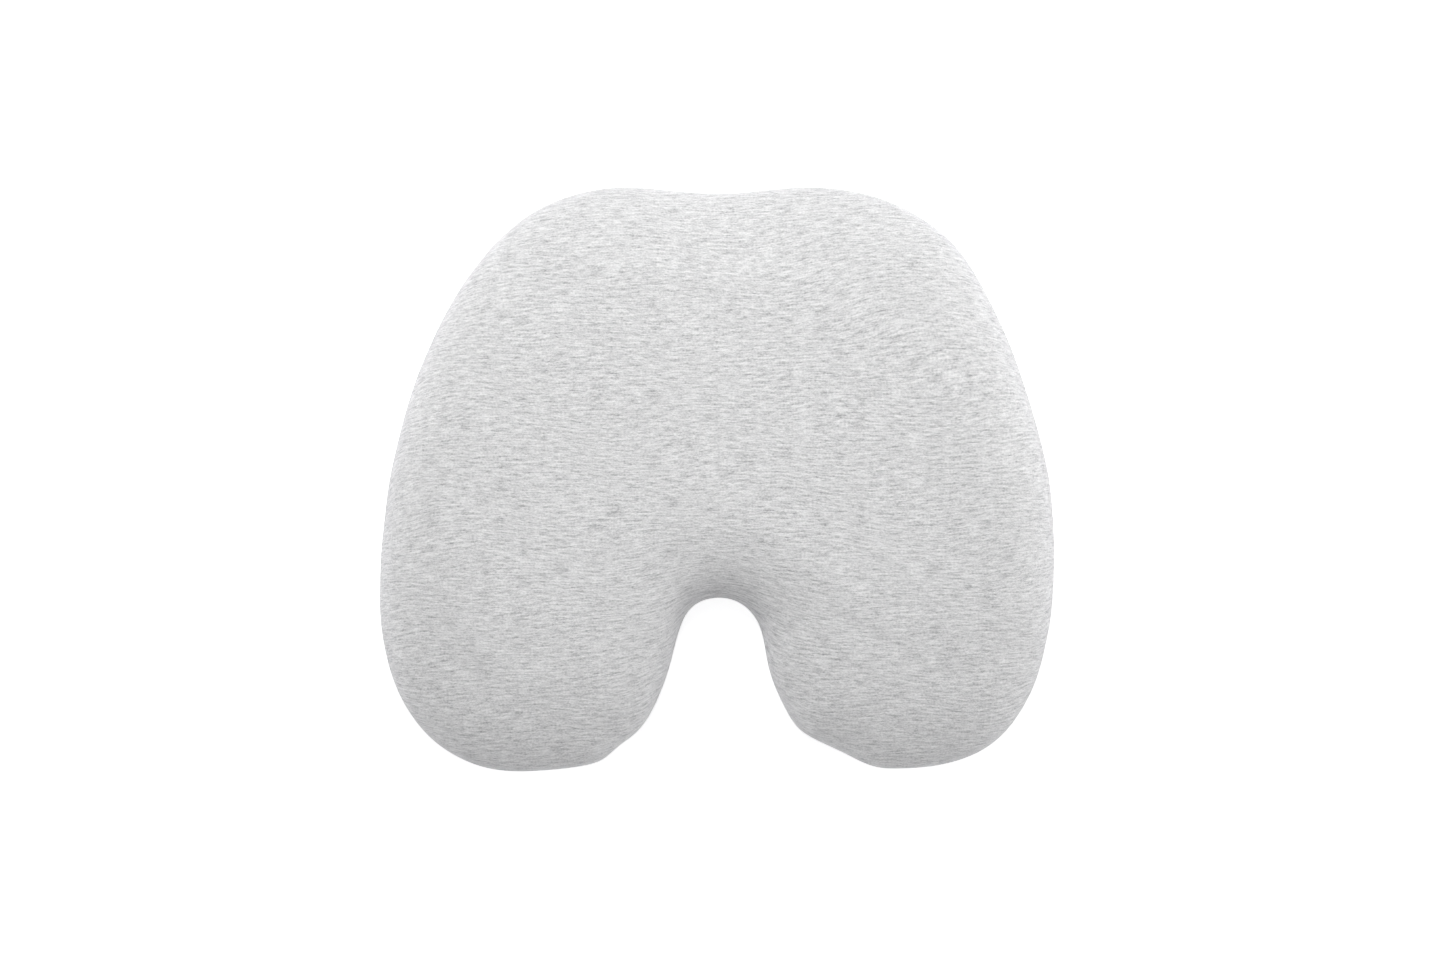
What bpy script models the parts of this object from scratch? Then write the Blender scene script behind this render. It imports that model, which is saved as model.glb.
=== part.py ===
"""Contoured seat cushion: a moulded foam core in a liner, inside a zipped knit cover with a grip-fabric base.

The origin is under the middle of the outline, on the surface that the cushion rests on. +Z is up, +Y points to
the front edge, and the tailbone notch opens towards -Y. Sizes are in metres. Each fabric layer is the cover's
outer surface again, at its own depth below it, so that the layers nest whatever the sizes are.
"""

import math

import bmesh
import bpy
import numpy as np
from mathutils import Vector
from mathutils.geometry import delaunay_2d_cdt

# Overall sizes.
WIDTH = 0.455
DEPTH = 0.395
HEIGHT = 0.084

# Outline seen from above: anchors of the right half, from the middle of the front edge to the lobe's end, as
# shares of half the width and half the depth. The edge radius is the plan width of the rounding above the waist.
FRONT_DIP = 0.0045
OUTER_SHAPE = (  # x share, y share, edge radius
    (0.316, 1.000, 0.052),
    (0.532, 0.932, 0.050),
    (0.686, 0.795, 0.046),
    (0.804, 0.587, 0.042),
    (0.927, 0.246, 0.040),
    (0.995, -0.167, 0.040),
    (0.995, -0.441, 0.042),
    (0.948, -0.714, 0.050),
    (0.806, -0.924, 0.056),
    (0.550, -1.000, 0.056),
)
FRONT_EDGE_RADIUS = 0.052
EDGE_TO_LOBE = 0.62  # the edge radius takes no more than this share of a lobe's half width

# Tailbone notch: anchors of its right wall, as shares of its half width and depth, from the mouth to the apex.
NOTCH_WIDTH = 0.092
NOTCH_DEPTH = 0.118
NOTCH_SHAPE = (  # x share, y share, edge radius
    (1.675, 0.115, 0.048),
    (1.000, 0.360, 0.034),
    (0.690, 0.705, 0.030),
    (0.425, 0.935, 0.036),
)
APEX_EDGE_RADIUS = 0.040

# Side profile: an elliptical underside from the floor to the waist, and a rounded edge above it.
WAIST_Z = 0.037
SEAM_Z = 0.011
UNDERCUT = 0.026
NOTCH_UNDERCUT = 0.015

# Seat surface: two shallow wells, and a fall towards the front edge and the lobes' ends.
WELL_DEPTH = 0.0060
WELL_X = 0.092
WELL_Y = 0.020
WELL_RADIUS_X = 0.058
WELL_RADIUS_Y = 0.085
FRONT_FALL = 0.011
FRONT_FALL_START = 0.075
REAR_FALL = 0.013
REAR_FALL_START = 0.000

# Layers, from the outside in.
KNIT_THICKNESS = 0.0013
GRIP_THICKNESS = 0.0024
LINER_THICKNESS = 0.0008
CLEARANCE = 0.0004
SEAM_GAP = 0.0004

# Zip across the base. Heights are above the rest surface, and widths are measured from the zip's middle line.
ZIP_Y = 0.020
ZIP_END_MARGIN = 0.004
RECESS_END = 0.012
LAND_HALF_WIDTH = 0.0135
FOOT_HALF_WIDTH = 0.0195
HEM_RISE = 0.0042
SLOT_HALF_WIDTH = 0.0085
SLOT_END_TAPER = 0.010
TAPE_HALF_WIDTH = 0.0128
TAPE_THICKNESS = 0.0006
CHAIN_HALF_WIDTH = 0.0032
CHAIN_THICKNESS = 0.0022
CHAIN_HALF_GAP = 0.00055
STOP_LENGTH = 0.003
ZIP_CLEARANCE = 0.0003

# Slider and pull tab.
SLIDER_LENGTH = 0.0125
SLIDER_PLATE = 0.0009
SLIDER_FLANGE = 0.0012
SLIDER_WEB = 0.0005
SLIDER_NOSE = 0.004
CROWN_LENGTH = 0.009
CROWN_WIDTH = 0.002
CROWN_STRIP = 0.0007
TAB_LENGTH = 0.026
TAB_HALF_WIDTH = 0.0031
TAB_THICKNESS = 0.0011
TAB_WINDOW = 0.0050

# Care label, folded double, inside the cover beside the tape.
LABEL_LENGTH = 0.028
LABEL_X = 0.070

# Mesh fineness.
SAMPLES_PER_SPAN = 2
UNDER_STEPS = 3
WALL_STEPS = 3
EDGE_ANGLES = (25, 50, 70, 90)
FILL_SPACING = 0.025
CDT_TOLERANCE = 1e-7
ROW_SPACING = 0.030

MATERIALS = {  # linear colour, roughness, metallic
    "heather_knit": ((0.66, 0.66, 0.67), 0.95, 0.0),
    "grip_fabric": ((0.10, 0.10, 0.11), 0.90, 0.0),
    "liner_tricot": ((0.85, 0.85, 0.84), 0.85, 0.0),
    "memory_foam": ((0.82, 0.80, 0.72), 1.00, 0.0),
    "zip_tape": ((0.12, 0.12, 0.13), 0.90, 0.0),
    "zip_nylon": ((0.09, 0.09, 0.10), 0.45, 0.0),
    "zip_metal": ((0.55, 0.55, 0.56), 0.35, 1.0),
    "label_satin": ((0.88, 0.88, 0.87), 0.60, 0.0),
}


def clear_scene():
    for obj in list(bpy.data.objects):
        bpy.data.objects.remove(obj)


def material(name):
    made = bpy.data.materials.get(name)
    if made is None:
        colour, roughness, metallic = MATERIALS[name]
        made = bpy.data.materials.new(name)
        made.use_nodes = True
        shader = made.node_tree.nodes["Principled BSDF"]
        shader.inputs["Base Color"].default_value = (*colour, 1.0)
        shader.inputs["Roughness"].default_value = roughness
        shader.inputs["Metallic"].default_value = metallic
    return made


def add_object(name, bm, material_name, parent=None, origin=(0, 0, 0)):
    """A named object from a bmesh in world coordinates, with its own origin, for instance on a joint's axis."""
    bmesh.ops.recalc_face_normals(bm, faces=bm.faces)
    bmesh.ops.translate(bm, verts=bm.verts, vec=-Vector(origin))
    mesh = bpy.data.meshes.new(name)
    bm.to_mesh(mesh)
    bm.free()
    mesh.materials.append(material(material_name))
    obj = bpy.data.objects.new(name, mesh)
    bpy.context.scene.collection.objects.link(obj)
    obj.parent = parent
    obj.location = Vector(origin) - (parent.location if parent else Vector())
    return obj


def smooth_step(value):
    value = np.clip(value, 0.0, 1.0)
    return value * value * (3.0 - 2.0 * value)


# ---------------------------------------------------------------- outline


def right_half_anchors():
    """Rows of x, y, edge radius and undercut, from the middle of the front edge to the notch's apex."""
    half_width, half_depth = WIDTH / 2, DEPTH / 2
    rows = [(0.0, half_depth - FRONT_DIP, FRONT_EDGE_RADIUS, UNDERCUT)]
    rows += [(x * half_width, y * half_depth, radius, UNDERCUT) for x, y, radius in OUTER_SHAPE]
    for x, y, radius in NOTCH_SHAPE:
        rows.append((x * NOTCH_WIDTH / 2, y * NOTCH_DEPTH - half_depth, radius, NOTCH_UNDERCUT))
    rows.append((0.0, NOTCH_DEPTH - half_depth, APEX_EDGE_RADIUS, NOTCH_UNDERCUT))
    return rows


def closed_spline(anchors, samples):
    """Points and tangents along the closed cubic spline through the anchors, spaced by chord length."""
    anchors = np.array(anchors, float)
    count = len(anchors)
    chords = np.linalg.norm(np.roll(anchors, -1, axis=0)[:, :2] - anchors[:, :2], axis=1)
    system, wanted = np.zeros((count, count)), np.zeros(anchors.shape)
    for i in range(count):
        before, after = chords[i - 1], chords[i]
        following = (i + 1) % count
        system[i, i - 1] = after
        system[i, i] = 2 * (before + after)
        system[i, following] = before
        wanted[i] = 3 * (
            after / before * (anchors[i] - anchors[i - 1]) + before / after * (anchors[following] - anchors[i])
        )
    slopes = np.linalg.solve(system, wanted)
    points, tangents = [], []
    for i in range(count):
        following, chord = (i + 1) % count, chords[i]
        a, b, da, db = anchors[i], anchors[following], slopes[i] * chord, slopes[following] * chord
        for step in range(samples):
            t = step / samples
            points.append(
                (2 * t**3 - 3 * t**2 + 1) * a
                + (t**3 - 2 * t**2 + t) * da
                + (3 * t**2 - 2 * t**3) * b
                + (t**3 - t**2) * db
            )
            tangents.append(
                (6 * t**2 - 6 * t) * (a - b) + (3 * t**2 - 4 * t + 1) * da + (3 * t**2 - 2 * t) * db
            )
    return np.array(points), np.array(tangents)


def outline():
    """The whole outline, clockwise from above: its points, inward normals, edge radii and undercuts."""
    right = right_half_anchors()
    left = [(-x, y, radius, undercut) for x, y, radius, undercut in right[-2:0:-1]]
    rows, tangents = closed_spline(right + left, SAMPLES_PER_SPAN)
    inward = np.column_stack([tangents[:, 1], -tangents[:, 0]])
    inward /= np.linalg.norm(inward, axis=1, keepdims=True)
    lobe_half_width = (WIDTH - NOTCH_WIDTH) / 4
    radius = np.minimum(rows[:, 2], EDGE_TO_LOBE * lobe_half_width)
    return rows[:, :2], inward, radius, rows[:, 3]


# ---------------------------------------------------------------- cover's outer surface


def seat_height(x, y):
    """Height of the seat surface away from the edges, before it is levelled to the overall height."""
    wells = np.exp(
        -(((np.abs(x) - WELL_X) / WELL_RADIUS_X) ** 2) - ((y - WELL_Y) / WELL_RADIUS_Y) ** 2
    )
    front = smooth_step((y - FRONT_FALL_START) / (DEPTH / 2 - FRONT_FALL_START))
    rear = smooth_step((REAR_FALL_START - y) / (DEPTH / 2 + REAR_FALL_START))
    return -WELL_DEPTH * wells - FRONT_FALL * front - REAR_FALL * rear


def hex_points(ring, spacing):
    """A staggered grid of points inside a ring, no nearer to it than 0.6 of the spacing."""
    low, high = ring.min(axis=0), ring.max(axis=0)
    half_columns = math.ceil(high[0] / spacing)
    rows = math.ceil((high[1] - low[1]) / (spacing * math.sqrt(0.75)))
    found = []
    for row in range(rows + 1):
        y = low[1] + row * spacing * math.sqrt(0.75)
        for column in range(-half_columns, half_columns + 1):
            x = (column + 0.5 * (row % 2)) * spacing
            if row % 2 and column == half_columns:
                continue
            if inside(ring, x, y) and distance_to(ring, x, y) > 0.6 * spacing:
                found.append((x, y))
    return found


def inside(ring, x, y):
    """Whether a point is inside a closed polygon."""
    nxt = np.roll(ring, -1, axis=0)
    spans = (ring[:, 1] > y) != (nxt[:, 1] > y)
    rise = np.where(spans, nxt[:, 1] - ring[:, 1], 1.0)
    crossing = ring[:, 0] + (y - ring[:, 1]) / rise * (nxt[:, 0] - ring[:, 0])
    return bool((spans & (x < crossing)).sum() % 2)


def distance_to(ring, x, y):
    """Distance from a point to a closed polygon's nearest side."""
    nxt, point = np.roll(ring, -1, axis=0), np.array([x, y])
    side = nxt - ring
    share = np.clip(((point - ring) * side).sum(axis=1) / (side**2).sum(axis=1), 0, 1)
    return float(np.linalg.norm(ring + share[:, None] * side - point, axis=1).min())


def fill(ring, extra):
    """Triangles that fill a ring and pass through the extra points: new points, and faces over ring + new."""
    loop = list(range(len(ring)))[::-1]
    placed = [Vector(p) for p in ring] + [Vector(p) for p in extra]
    verts, _, faces, origins, _, _ = delaunay_2d_cdt(placed, [], [loop], 1, CDT_TOLERANCE)
    index = {i: origins[i][0] for i in range(len(verts))}
    return [tuple(index[i] for i in face) for face in faces]


class Surface:
    """The cover's closed outer surface: rings up the side, a filled top, and a filled base.

    rings holds each ring's first vertex. The seam ring is shared by the upper sheet and the base sheet.
    """

    def __init__(self):
        self.points, self.upper, self.base = [], [], []
        self.outline, self.inward, self.radius, self.undercut = outline()
        self.count = len(self.outline)
        self.raise_seat()
        seam_angle = math.acos(1 - SEAM_Z / WAIST_Z)
        wall = [seam_angle + (math.pi / 2 - seam_angle) * i / WALL_STEPS for i in range(WALL_STEPS + 1)]
        rings = [self.side_ring(angle) for angle in wall]
        rings += [self.edge_ring(math.radians(angle)) for angle in EDGE_ANGLES]
        self.seam_ring = rings[0]
        self.wall_rings = rings
        for lower, higher in zip(rings, rings[1:]):
            self.band(self.upper, lower, higher)
        self.cap(self.upper, rings[-1], self.top_points(rings[-1]), self.seat, turned=False)
        under = [seam_angle * (1 - i / UNDER_STEPS) for i in range(1, UNDER_STEPS + 1)]
        self.base_rings = [self.side_ring(angle) for angle in under]
        lower = [self.seam_ring] + self.base_rings
        for higher, low in zip(lower, lower[1:]):
            self.band(self.base, low, higher)
        self.flat_ring = self.ring_plan(lower[-1])
        self.set_zip_reach()
        self.cap(self.base, lower[-1], self.base_points(), lambda x, y: 0.0, turned=True)
        self.points = np.array(self.points)
        self.normals = self.vertex_normals()

    def raise_seat(self):
        """Levels the seat so that its highest point is at the overall height."""
        ring = self.outline + self.inward * self.radius[:, None]
        points = np.array(list(ring) + hex_points(ring, FILL_SPACING))
        self.lift = HEIGHT - seat_height(points[:, 0], points[:, 1]).max()

    def seat(self, x, y):
        return self.lift + seat_height(x, y)

    def add_ring(self, plan, height):
        first = len(self.points)
        self.points += [(x, y, z) for (x, y), z in zip(plan, height)]
        return first

    def side_ring(self, angle):
        """A ring of the elliptical underside: angle 0 is on the floor, and a right angle is the waist."""
        plan = self.outline + self.inward * (self.undercut * (1 - math.sin(angle)))[:, None]
        return self.add_ring(plan, [WAIST_Z * (1 - math.cos(angle))] * self.count)

    def edge_ring(self, angle):
        """A ring of the rounded edge above the waist: angle 0 is the waist, and a right angle the seat."""
        plan = self.outline + self.inward * (self.radius * (1 - math.cos(angle)))[:, None]
        height = WAIST_Z + (self.seat(plan[:, 0], plan[:, 1]) - WAIST_Z) * math.sin(angle)
        return self.add_ring(plan, height)

    def band(self, sheet, lower, higher):
        """Triangles between two rings, with every diagonal the same way in each layer."""
        for i in range(self.count):
            j = (i + 1) % self.count
            sheet.append((lower + i, higher + i, higher + j))
            sheet.append((lower + i, higher + j, lower + j))

    def ring_plan(self, first):
        return np.array(self.points[first : first + self.count])[:, :2]

    def top_points(self, first):
        return hex_points(self.ring_plan(first), FILL_SPACING)

    def set_zip_reach(self):
        """How far the zip's recess and its full-height part reach each way along X, from the flat base."""
        x = self.flat_ring[:, 0]
        near = np.abs(self.flat_ring[:, 1] - ZIP_Y) < FOOT_HALF_WIDTH + FILL_SPACING
        self.recess_end = float(np.abs(x[near & (np.abs(x) > NOTCH_WIDTH)]).min()) - ZIP_END_MARGIN
        self.land_end = self.recess_end - RECESS_END

    def base_points(self):
        """The base's inner points: rows along the zip's recess, and a grid elsewhere."""
        columns = math.ceil(2 * self.land_end / ROW_SPACING)
        along = [self.land_end * (2 * i / columns - 1) for i in range(columns + 1)]
        along = [-self.recess_end] + along + [self.recess_end]
        across = (-FOOT_HALF_WIDTH, -LAND_HALF_WIDTH, LAND_HALF_WIDTH, FOOT_HALF_WIDTH)
        rows = [(x, ZIP_Y + v) for v in across for x in along]
        keep_off = FOOT_HALF_WIDTH + 0.6 * FILL_SPACING
        grid = [p for p in hex_points(self.flat_ring, FILL_SPACING) if abs(p[1] - ZIP_Y) > keep_off]
        return rows + grid

    def cap(self, sheet, first, extra, height, turned):
        """Fills a ring. A point that the fill adds takes its height from the given function."""
        ring = self.ring_plan(first)
        faces = fill(ring, extra)
        start = len(self.points)
        self.points += [(x, y, float(height(x, y))) for x, y in extra]

        def vertex(i):
            return first + i if i < self.count else start + i - self.count

        for face in faces:
            corners = tuple(vertex(i) for i in face)
            sheet.append(corners[::-1] if turned else corners)

    def vertex_normals(self):
        """Outward normals of the closed surface, each face weighted by its area."""
        normals = np.zeros(self.points.shape)
        for face in self.upper + self.base:
            a, b, c = (self.points[i] for i in face)
            across = np.cross(b - a, c - a)
            for i in face:
                normals[i] += across
        return normals / np.linalg.norm(normals, axis=1, keepdims=True)

    def recess(self, rise):
        """How much each point is raised by the zip's recess, for a layer that rises by that much there."""
        x, across = np.abs(self.points[:, 0]), np.abs(self.points[:, 1] - ZIP_Y)
        along = np.clip((self.recess_end - x) / RECESS_END, 0, 1)
        slope = np.clip((FOOT_HALF_WIDTH - across) / (FOOT_HALF_WIDTH - LAND_HALF_WIDTH), 0, 1)
        on_base = self.points[:, 2] < 1e-6
        return np.where(on_base, rise * along * slope, 0.0)

    def at_depth(self, upper_depth, base_depth, rise=0.0):
        """The surface's points moved inwards: by upper_depth above the seam, and by base_depth from it down."""
        depth = np.full(len(self.points), base_depth)
        for k, first in enumerate(self.wall_rings):
            share = smooth_step(k / WALL_STEPS)
            depth[first : first + self.count] = base_depth + (upper_depth - base_depth) * share
        top = set(i for face in self.upper for i in face) - set(range(self.wall_rings[-1] + self.count))
        depth[sorted(top)] = upper_depth
        moved = self.points - self.normals * depth[:, None]
        moved[:, 2] += self.recess(rise)
        return moved


# ---------------------------------------------------------------- solids from the surface


def solid(points, faces):
    """A bmesh of the points that the faces use."""
    bm = bmesh.new()
    made = {}
    for face in faces:
        for i in face:
            if i not in made:
                made[i] = bm.verts.new(points[i])
        bm.faces.new([made[i] for i in face])
    return bm


def layer(outer, inner, sheet, seam, count):
    """A closed shell: the sheet's faces on the outer points and the inner points, joined round the seam ring."""
    points = np.concatenate([outer, inner])
    shift = len(outer)
    faces = list(sheet) + [tuple(i + shift for i in face)[::-1] for face in sheet]
    for i in range(count):
        a, b = seam + i, seam + (i + 1) % count
        faces.append((a, b, b + shift))
        faces.append((a, b + shift, a + shift))
    return solid(points, faces)


def hem(points, surface, towards):
    """The seam ring moved half a seam gap along the surface, towards the ring that starts at that vertex."""
    moved = points.copy()
    for i in range(surface.count):
        a, b = surface.seam_ring + i, towards + i
        away = points[b] - points[a]
        moved[a] += away / np.linalg.norm(away) * SEAM_GAP / 2
    return moved


def make_foam(surface, depth, rise):
    return solid(surface.at_depth(*depth, rise), surface.upper + surface.base)


def make_sheet(surface, sheet, towards, outer, inner, rise):
    """One fabric sheet between two depths, with its hem at the seam."""
    layers = [hem(surface.at_depth(*depth, rise), surface, towards) for depth in (outer, inner)]
    return layer(*layers, sheet, surface.seam_ring, surface.count)


def prism(outline_points, low, high):
    """A bmesh prism over a plan outline, between two heights."""
    bm = bmesh.new()
    face = bm.faces.new([bm.verts.new((x, y, low)) for x, y in outline_points])
    made = bmesh.ops.extrude_face_region(bm, geom=[face])
    verts = [v for v in made["geom"] if isinstance(v, bmesh.types.BMVert)]
    bmesh.ops.translate(bm, verts=verts, vec=(0, 0, high - low))
    bmesh.ops.recalc_face_normals(bm, faces=bm.faces)
    return bm


def bar(start, end, profile):
    """A bmesh bar along X whose cross-section is a list of (distance from the zip's middle line, height)."""
    bm = bmesh.new()
    face = bm.faces.new([bm.verts.new((start, ZIP_Y + v, z)) for v, z in profile])
    made = bmesh.ops.extrude_face_region(bm, geom=[face])
    verts = [v for v in made["geom"] if isinstance(v, bmesh.types.BMVert)]
    bmesh.ops.translate(bm, verts=verts, vec=(end - start, 0, 0))
    bmesh.ops.recalc_face_normals(bm, faces=bm.faces)
    return bm


def rectangle(low, high):
    return [(low[0], low[1]), (high[0], low[1]), (high[0], high[1]), (low[0], high[1])]


def cutter(name, bm):
    obj = add_object(name, bm, "zip_metal")
    obj.hide_render = True
    obj.display_type = "WIRE"
    return obj


def boolean(obj, other, operation):
    modifier = obj.modifiers.new(other.name, "BOOLEAN")
    modifier.operation = operation
    modifier.object = other


# ---------------------------------------------------------------- pieces


def build_soft_goods(surface, parent):
    """Foam core, liner, knit cover and the tray from which the two base panels are cut."""
    knit = (0.0, 0.0), (KNIT_THICKNESS, KNIT_THICKNESS)
    grip = (0.0, 0.0), (GRIP_THICKNESS, GRIP_THICKNESS)
    liner_out = (KNIT_THICKNESS + CLEARANCE, GRIP_THICKNESS + CLEARANCE)
    liner_in = tuple(d + LINER_THICKNESS for d in liner_out)
    foam_depth = tuple(d + CLEARANCE for d in liner_in)
    channel = zip_heights()["recess_top"] - liner_out[1]
    up, down = surface.wall_rings[1], surface.base_rings[0]
    add_object("foam_core", make_foam(surface, foam_depth, channel), "memory_foam", parent)
    add_object(
        "liner_upper",
        make_sheet(surface, surface.upper, up, liner_out, liner_in, channel),
        "liner_tricot",
        parent,
    )
    add_object(
        "liner_base",
        make_sheet(surface, surface.base, down, liner_out, liner_in, channel),
        "liner_tricot",
        parent,
    )
    add_object(
        "cover_upper", make_sheet(surface, surface.upper, up, *knit, 0.0), "heather_knit", parent
    )
    for name, side in (("base_panel_front", 1), ("base_panel_rear", -1)):
        panel = add_object(
            name, make_sheet(surface, surface.base, down, *grip, HEM_RISE), "grip_fabric", parent
        )
        region = cutter(f"{name}_region", prism(panel_region(surface, side), -HEIGHT, HEIGHT))
        boolean(panel, region, "INTERSECT")


def panel_region(surface, side):
    """Plan outline of the half of the base on one side of the zip, with the slot left open."""
    far = WIDTH + DEPTH
    wide = chain_reach(surface) + STOP_LENGTH
    narrow = wide + SLOT_END_TAPER
    edge = [
        (-far, SEAM_GAP / 2),
        (-narrow, SEAM_GAP / 2),
        (-wide, SLOT_HALF_WIDTH),
        (wide, SLOT_HALF_WIDTH),
        (narrow, SEAM_GAP / 2),
        (far, SEAM_GAP / 2),
        (far, far),
        (-far, far),
    ]
    return [(x, ZIP_Y + side * v) for x, v in edge]


def zip_heights():
    """Heights of the zip's parts above the rest surface, stacked from the hem's inner face upwards."""
    tape = HEM_RISE + GRIP_THICKNESS + ZIP_CLEARANCE
    chain_top = tape - ZIP_CLEARANCE
    chain = chain_top - CHAIN_THICKNESS
    inner_plate = tape + TAPE_THICKNESS + ZIP_CLEARANCE
    outer_plate = chain - ZIP_CLEARANCE - SLIDER_PLATE
    pivot = outer_plate - ZIP_CLEARANCE - TAB_THICKNESS / 2
    return {
        "tape": tape,
        "chain": chain,
        "chain_top": chain_top,
        "inner_plate": inner_plate,
        "outer_plate": outer_plate,
        "pivot": pivot,
        "crown": pivot - TAB_THICKNESS / 2 - ZIP_CLEARANCE - CROWN_STRIP,
        "recess_top": inner_plate + SLIDER_PLATE + CLEARANCE,
    }


def chain_reach(surface):
    """How far the chain reaches each way along X. Past it, the recess holds the slot's end or a flat-lying tab."""
    slot_end = STOP_LENGTH + SLOT_END_TAPER
    tab_past_slider = TAB_LENGTH - SLIDER_LENGTH / 2
    return surface.land_end - ZIP_CLEARANCE - max(slot_end, tab_past_slider)


def build_zip(surface, parent):
    """Both tapes and both halves of the chain, the stops at its ends, and the label beside it."""
    z = zip_heights()
    reach = chain_reach(surface)
    tape_end = surface.land_end - CLEARANCE
    for name, side in (("front", 1), ("rear", -1)):
        tape = rectangle(
            (side * CHAIN_HALF_GAP, z["tape"]), (side * TAPE_HALF_WIDTH, z["tape"] + TAPE_THICKNESS)
        )
        add_object(f"zip_tape_{name}", bar(-tape_end, tape_end, tape), "zip_tape", parent)
        coil = half_chain(side, z["chain"], z["chain_top"])
        add_object(f"zip_coil_{name}", bar(-reach, reach, coil), "zip_nylon", parent)
        stop_start = -reach - ZIP_CLEARANCE
        add_object(
            f"zip_top_stop_{name}", bar(stop_start - STOP_LENGTH, stop_start, coil), "zip_metal", parent
        )
    bottom = rectangle((-CHAIN_HALF_WIDTH, z["chain"]), (CHAIN_HALF_WIDTH, z["chain_top"]))
    start = reach + ZIP_CLEARANCE
    add_object("zip_bottom_stop", bar(start, start + STOP_LENGTH, bottom), "zip_metal", parent)
    label_low = z["inner_plate"]
    label = rectangle(
        (SLOT_HALF_WIDTH - CHAIN_HALF_WIDTH, label_low),
        (TAPE_HALF_WIDTH - ZIP_CLEARANCE, label_low + TAPE_THICKNESS),
    )
    add_object("care_label", bar(LABEL_X, LABEL_X + LABEL_LENGTH, label), "label_satin", parent)


def half_chain(side, low, high):
    """Cross-section of one side's coil: a flattened oval."""
    middle, half = (low + high) / 2, (high - low) / 2
    near, far = CHAIN_HALF_GAP, CHAIN_HALF_WIDTH
    rounding = half * 0.6
    profile = [
        (near, middle - half + rounding / 2),
        (near + rounding / 2, low),
        (far - rounding, low),
        (far, middle - half + rounding),
        (far, middle + half - rounding),
        (far - rounding, high),
        (near + rounding / 2, high),
        (near, middle + half - rounding / 2),
    ]
    return [(side * v, z) for v, z in profile]


def slider_start(surface):
    """X of the slider's middle with the zip closed, against the top stops."""
    return -chain_reach(surface) + SLIDER_LENGTH / 2


def tapered_plate(middle, low, high, half_width):
    """A slider plate seen from below: square at the nose, and narrowed to the tail."""
    nose, tail = middle - SLIDER_LENGTH / 2, middle + SLIDER_LENGTH / 2
    shoulder = middle + SLIDER_LENGTH / 6
    narrow = half_width - SLIDER_FLANGE / 2
    chamfer = SLIDER_FLANGE / 2
    plan = [
        (nose, -half_width + chamfer),
        (nose + chamfer, -half_width),
        (shoulder, -half_width),
        (tail, -narrow),
        (tail, narrow),
        (shoulder, half_width),
        (nose + chamfer, half_width),
        (nose, half_width - chamfer),
    ]
    return prism([(x, ZIP_Y + v) for x, v in plan], low, high)


def build_slider(surface, parent):
    """Slider: outer plate with two flanges, inner plate, the web that joins them, and the crown over the tab."""
    z = zip_heights()
    middle = slider_start(surface)
    nose = middle - SLIDER_LENGTH / 2
    inner_wall = CHAIN_HALF_WIDTH + ZIP_CLEARANCE
    half_width = inner_wall + SLIDER_FLANGE
    outer_low, outer_high = z["outer_plate"], z["outer_plate"] + SLIDER_PLATE
    bite = SLIDER_PLATE / 2
    slider = add_object(
        "zip_slider", tapered_plate(middle, outer_low, outer_high, half_width), "zip_metal", parent
    )
    inner_low = z["inner_plate"]
    joined = [
        tapered_plate(middle, inner_low, inner_low + SLIDER_PLATE, half_width),
        bar(
            nose + SLIDER_FLANGE,
            nose + SLIDER_FLANGE + SLIDER_NOSE,
            rectangle((-SLIDER_WEB / 2, outer_high - bite), (SLIDER_WEB / 2, inner_low + bite)),
        ),
    ]
    flange_start, flange_end = nose + SLIDER_FLANGE, middle + SLIDER_LENGTH / 6
    for side in (1, -1):
        flange = rectangle(
            (side * inner_wall, outer_high - bite), (side * (half_width - bite / 2), z["chain_top"])
        )
        joined.append(bar(flange_start, flange_end, flange))
    joined.append(crown(middle, z))
    for i, bm in enumerate(joined):
        boolean(slider, cutter(f"slider_piece_{i}", bm), "UNION")
    return slider


def crown(middle, z):
    """The loop under the slider that holds the tab: two legs and a strip, as one bent bar."""
    half, low = CROWN_LENGTH / 2, z["crown"]
    root = z["outer_plate"] + SLIDER_PLATE / 2
    inner = half - CROWN_STRIP
    loop = [
        (-half, root),
        (-half, low + CROWN_STRIP),
        (-inner, low),
        (inner, low),
        (half, low + CROWN_STRIP),
        (half, root),
        (inner, root),
        (inner, low + CROWN_STRIP),
        (-inner, low + CROWN_STRIP),
        (-inner, root),
    ]
    bm = bmesh.new()
    start = ZIP_Y - CROWN_WIDTH / 2
    face = bm.faces.new([bm.verts.new((middle + x, start, height)) for x, height in loop])
    made = bmesh.ops.extrude_face_region(bm, geom=[face])
    verts = [v for v in made["geom"] if isinstance(v, bmesh.types.BMVert)]
    bmesh.ops.translate(bm, verts=verts, vec=(0, CROWN_WIDTH, 0))
    bmesh.ops.recalc_face_normals(bm, faces=bm.faces)
    return bm


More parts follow.
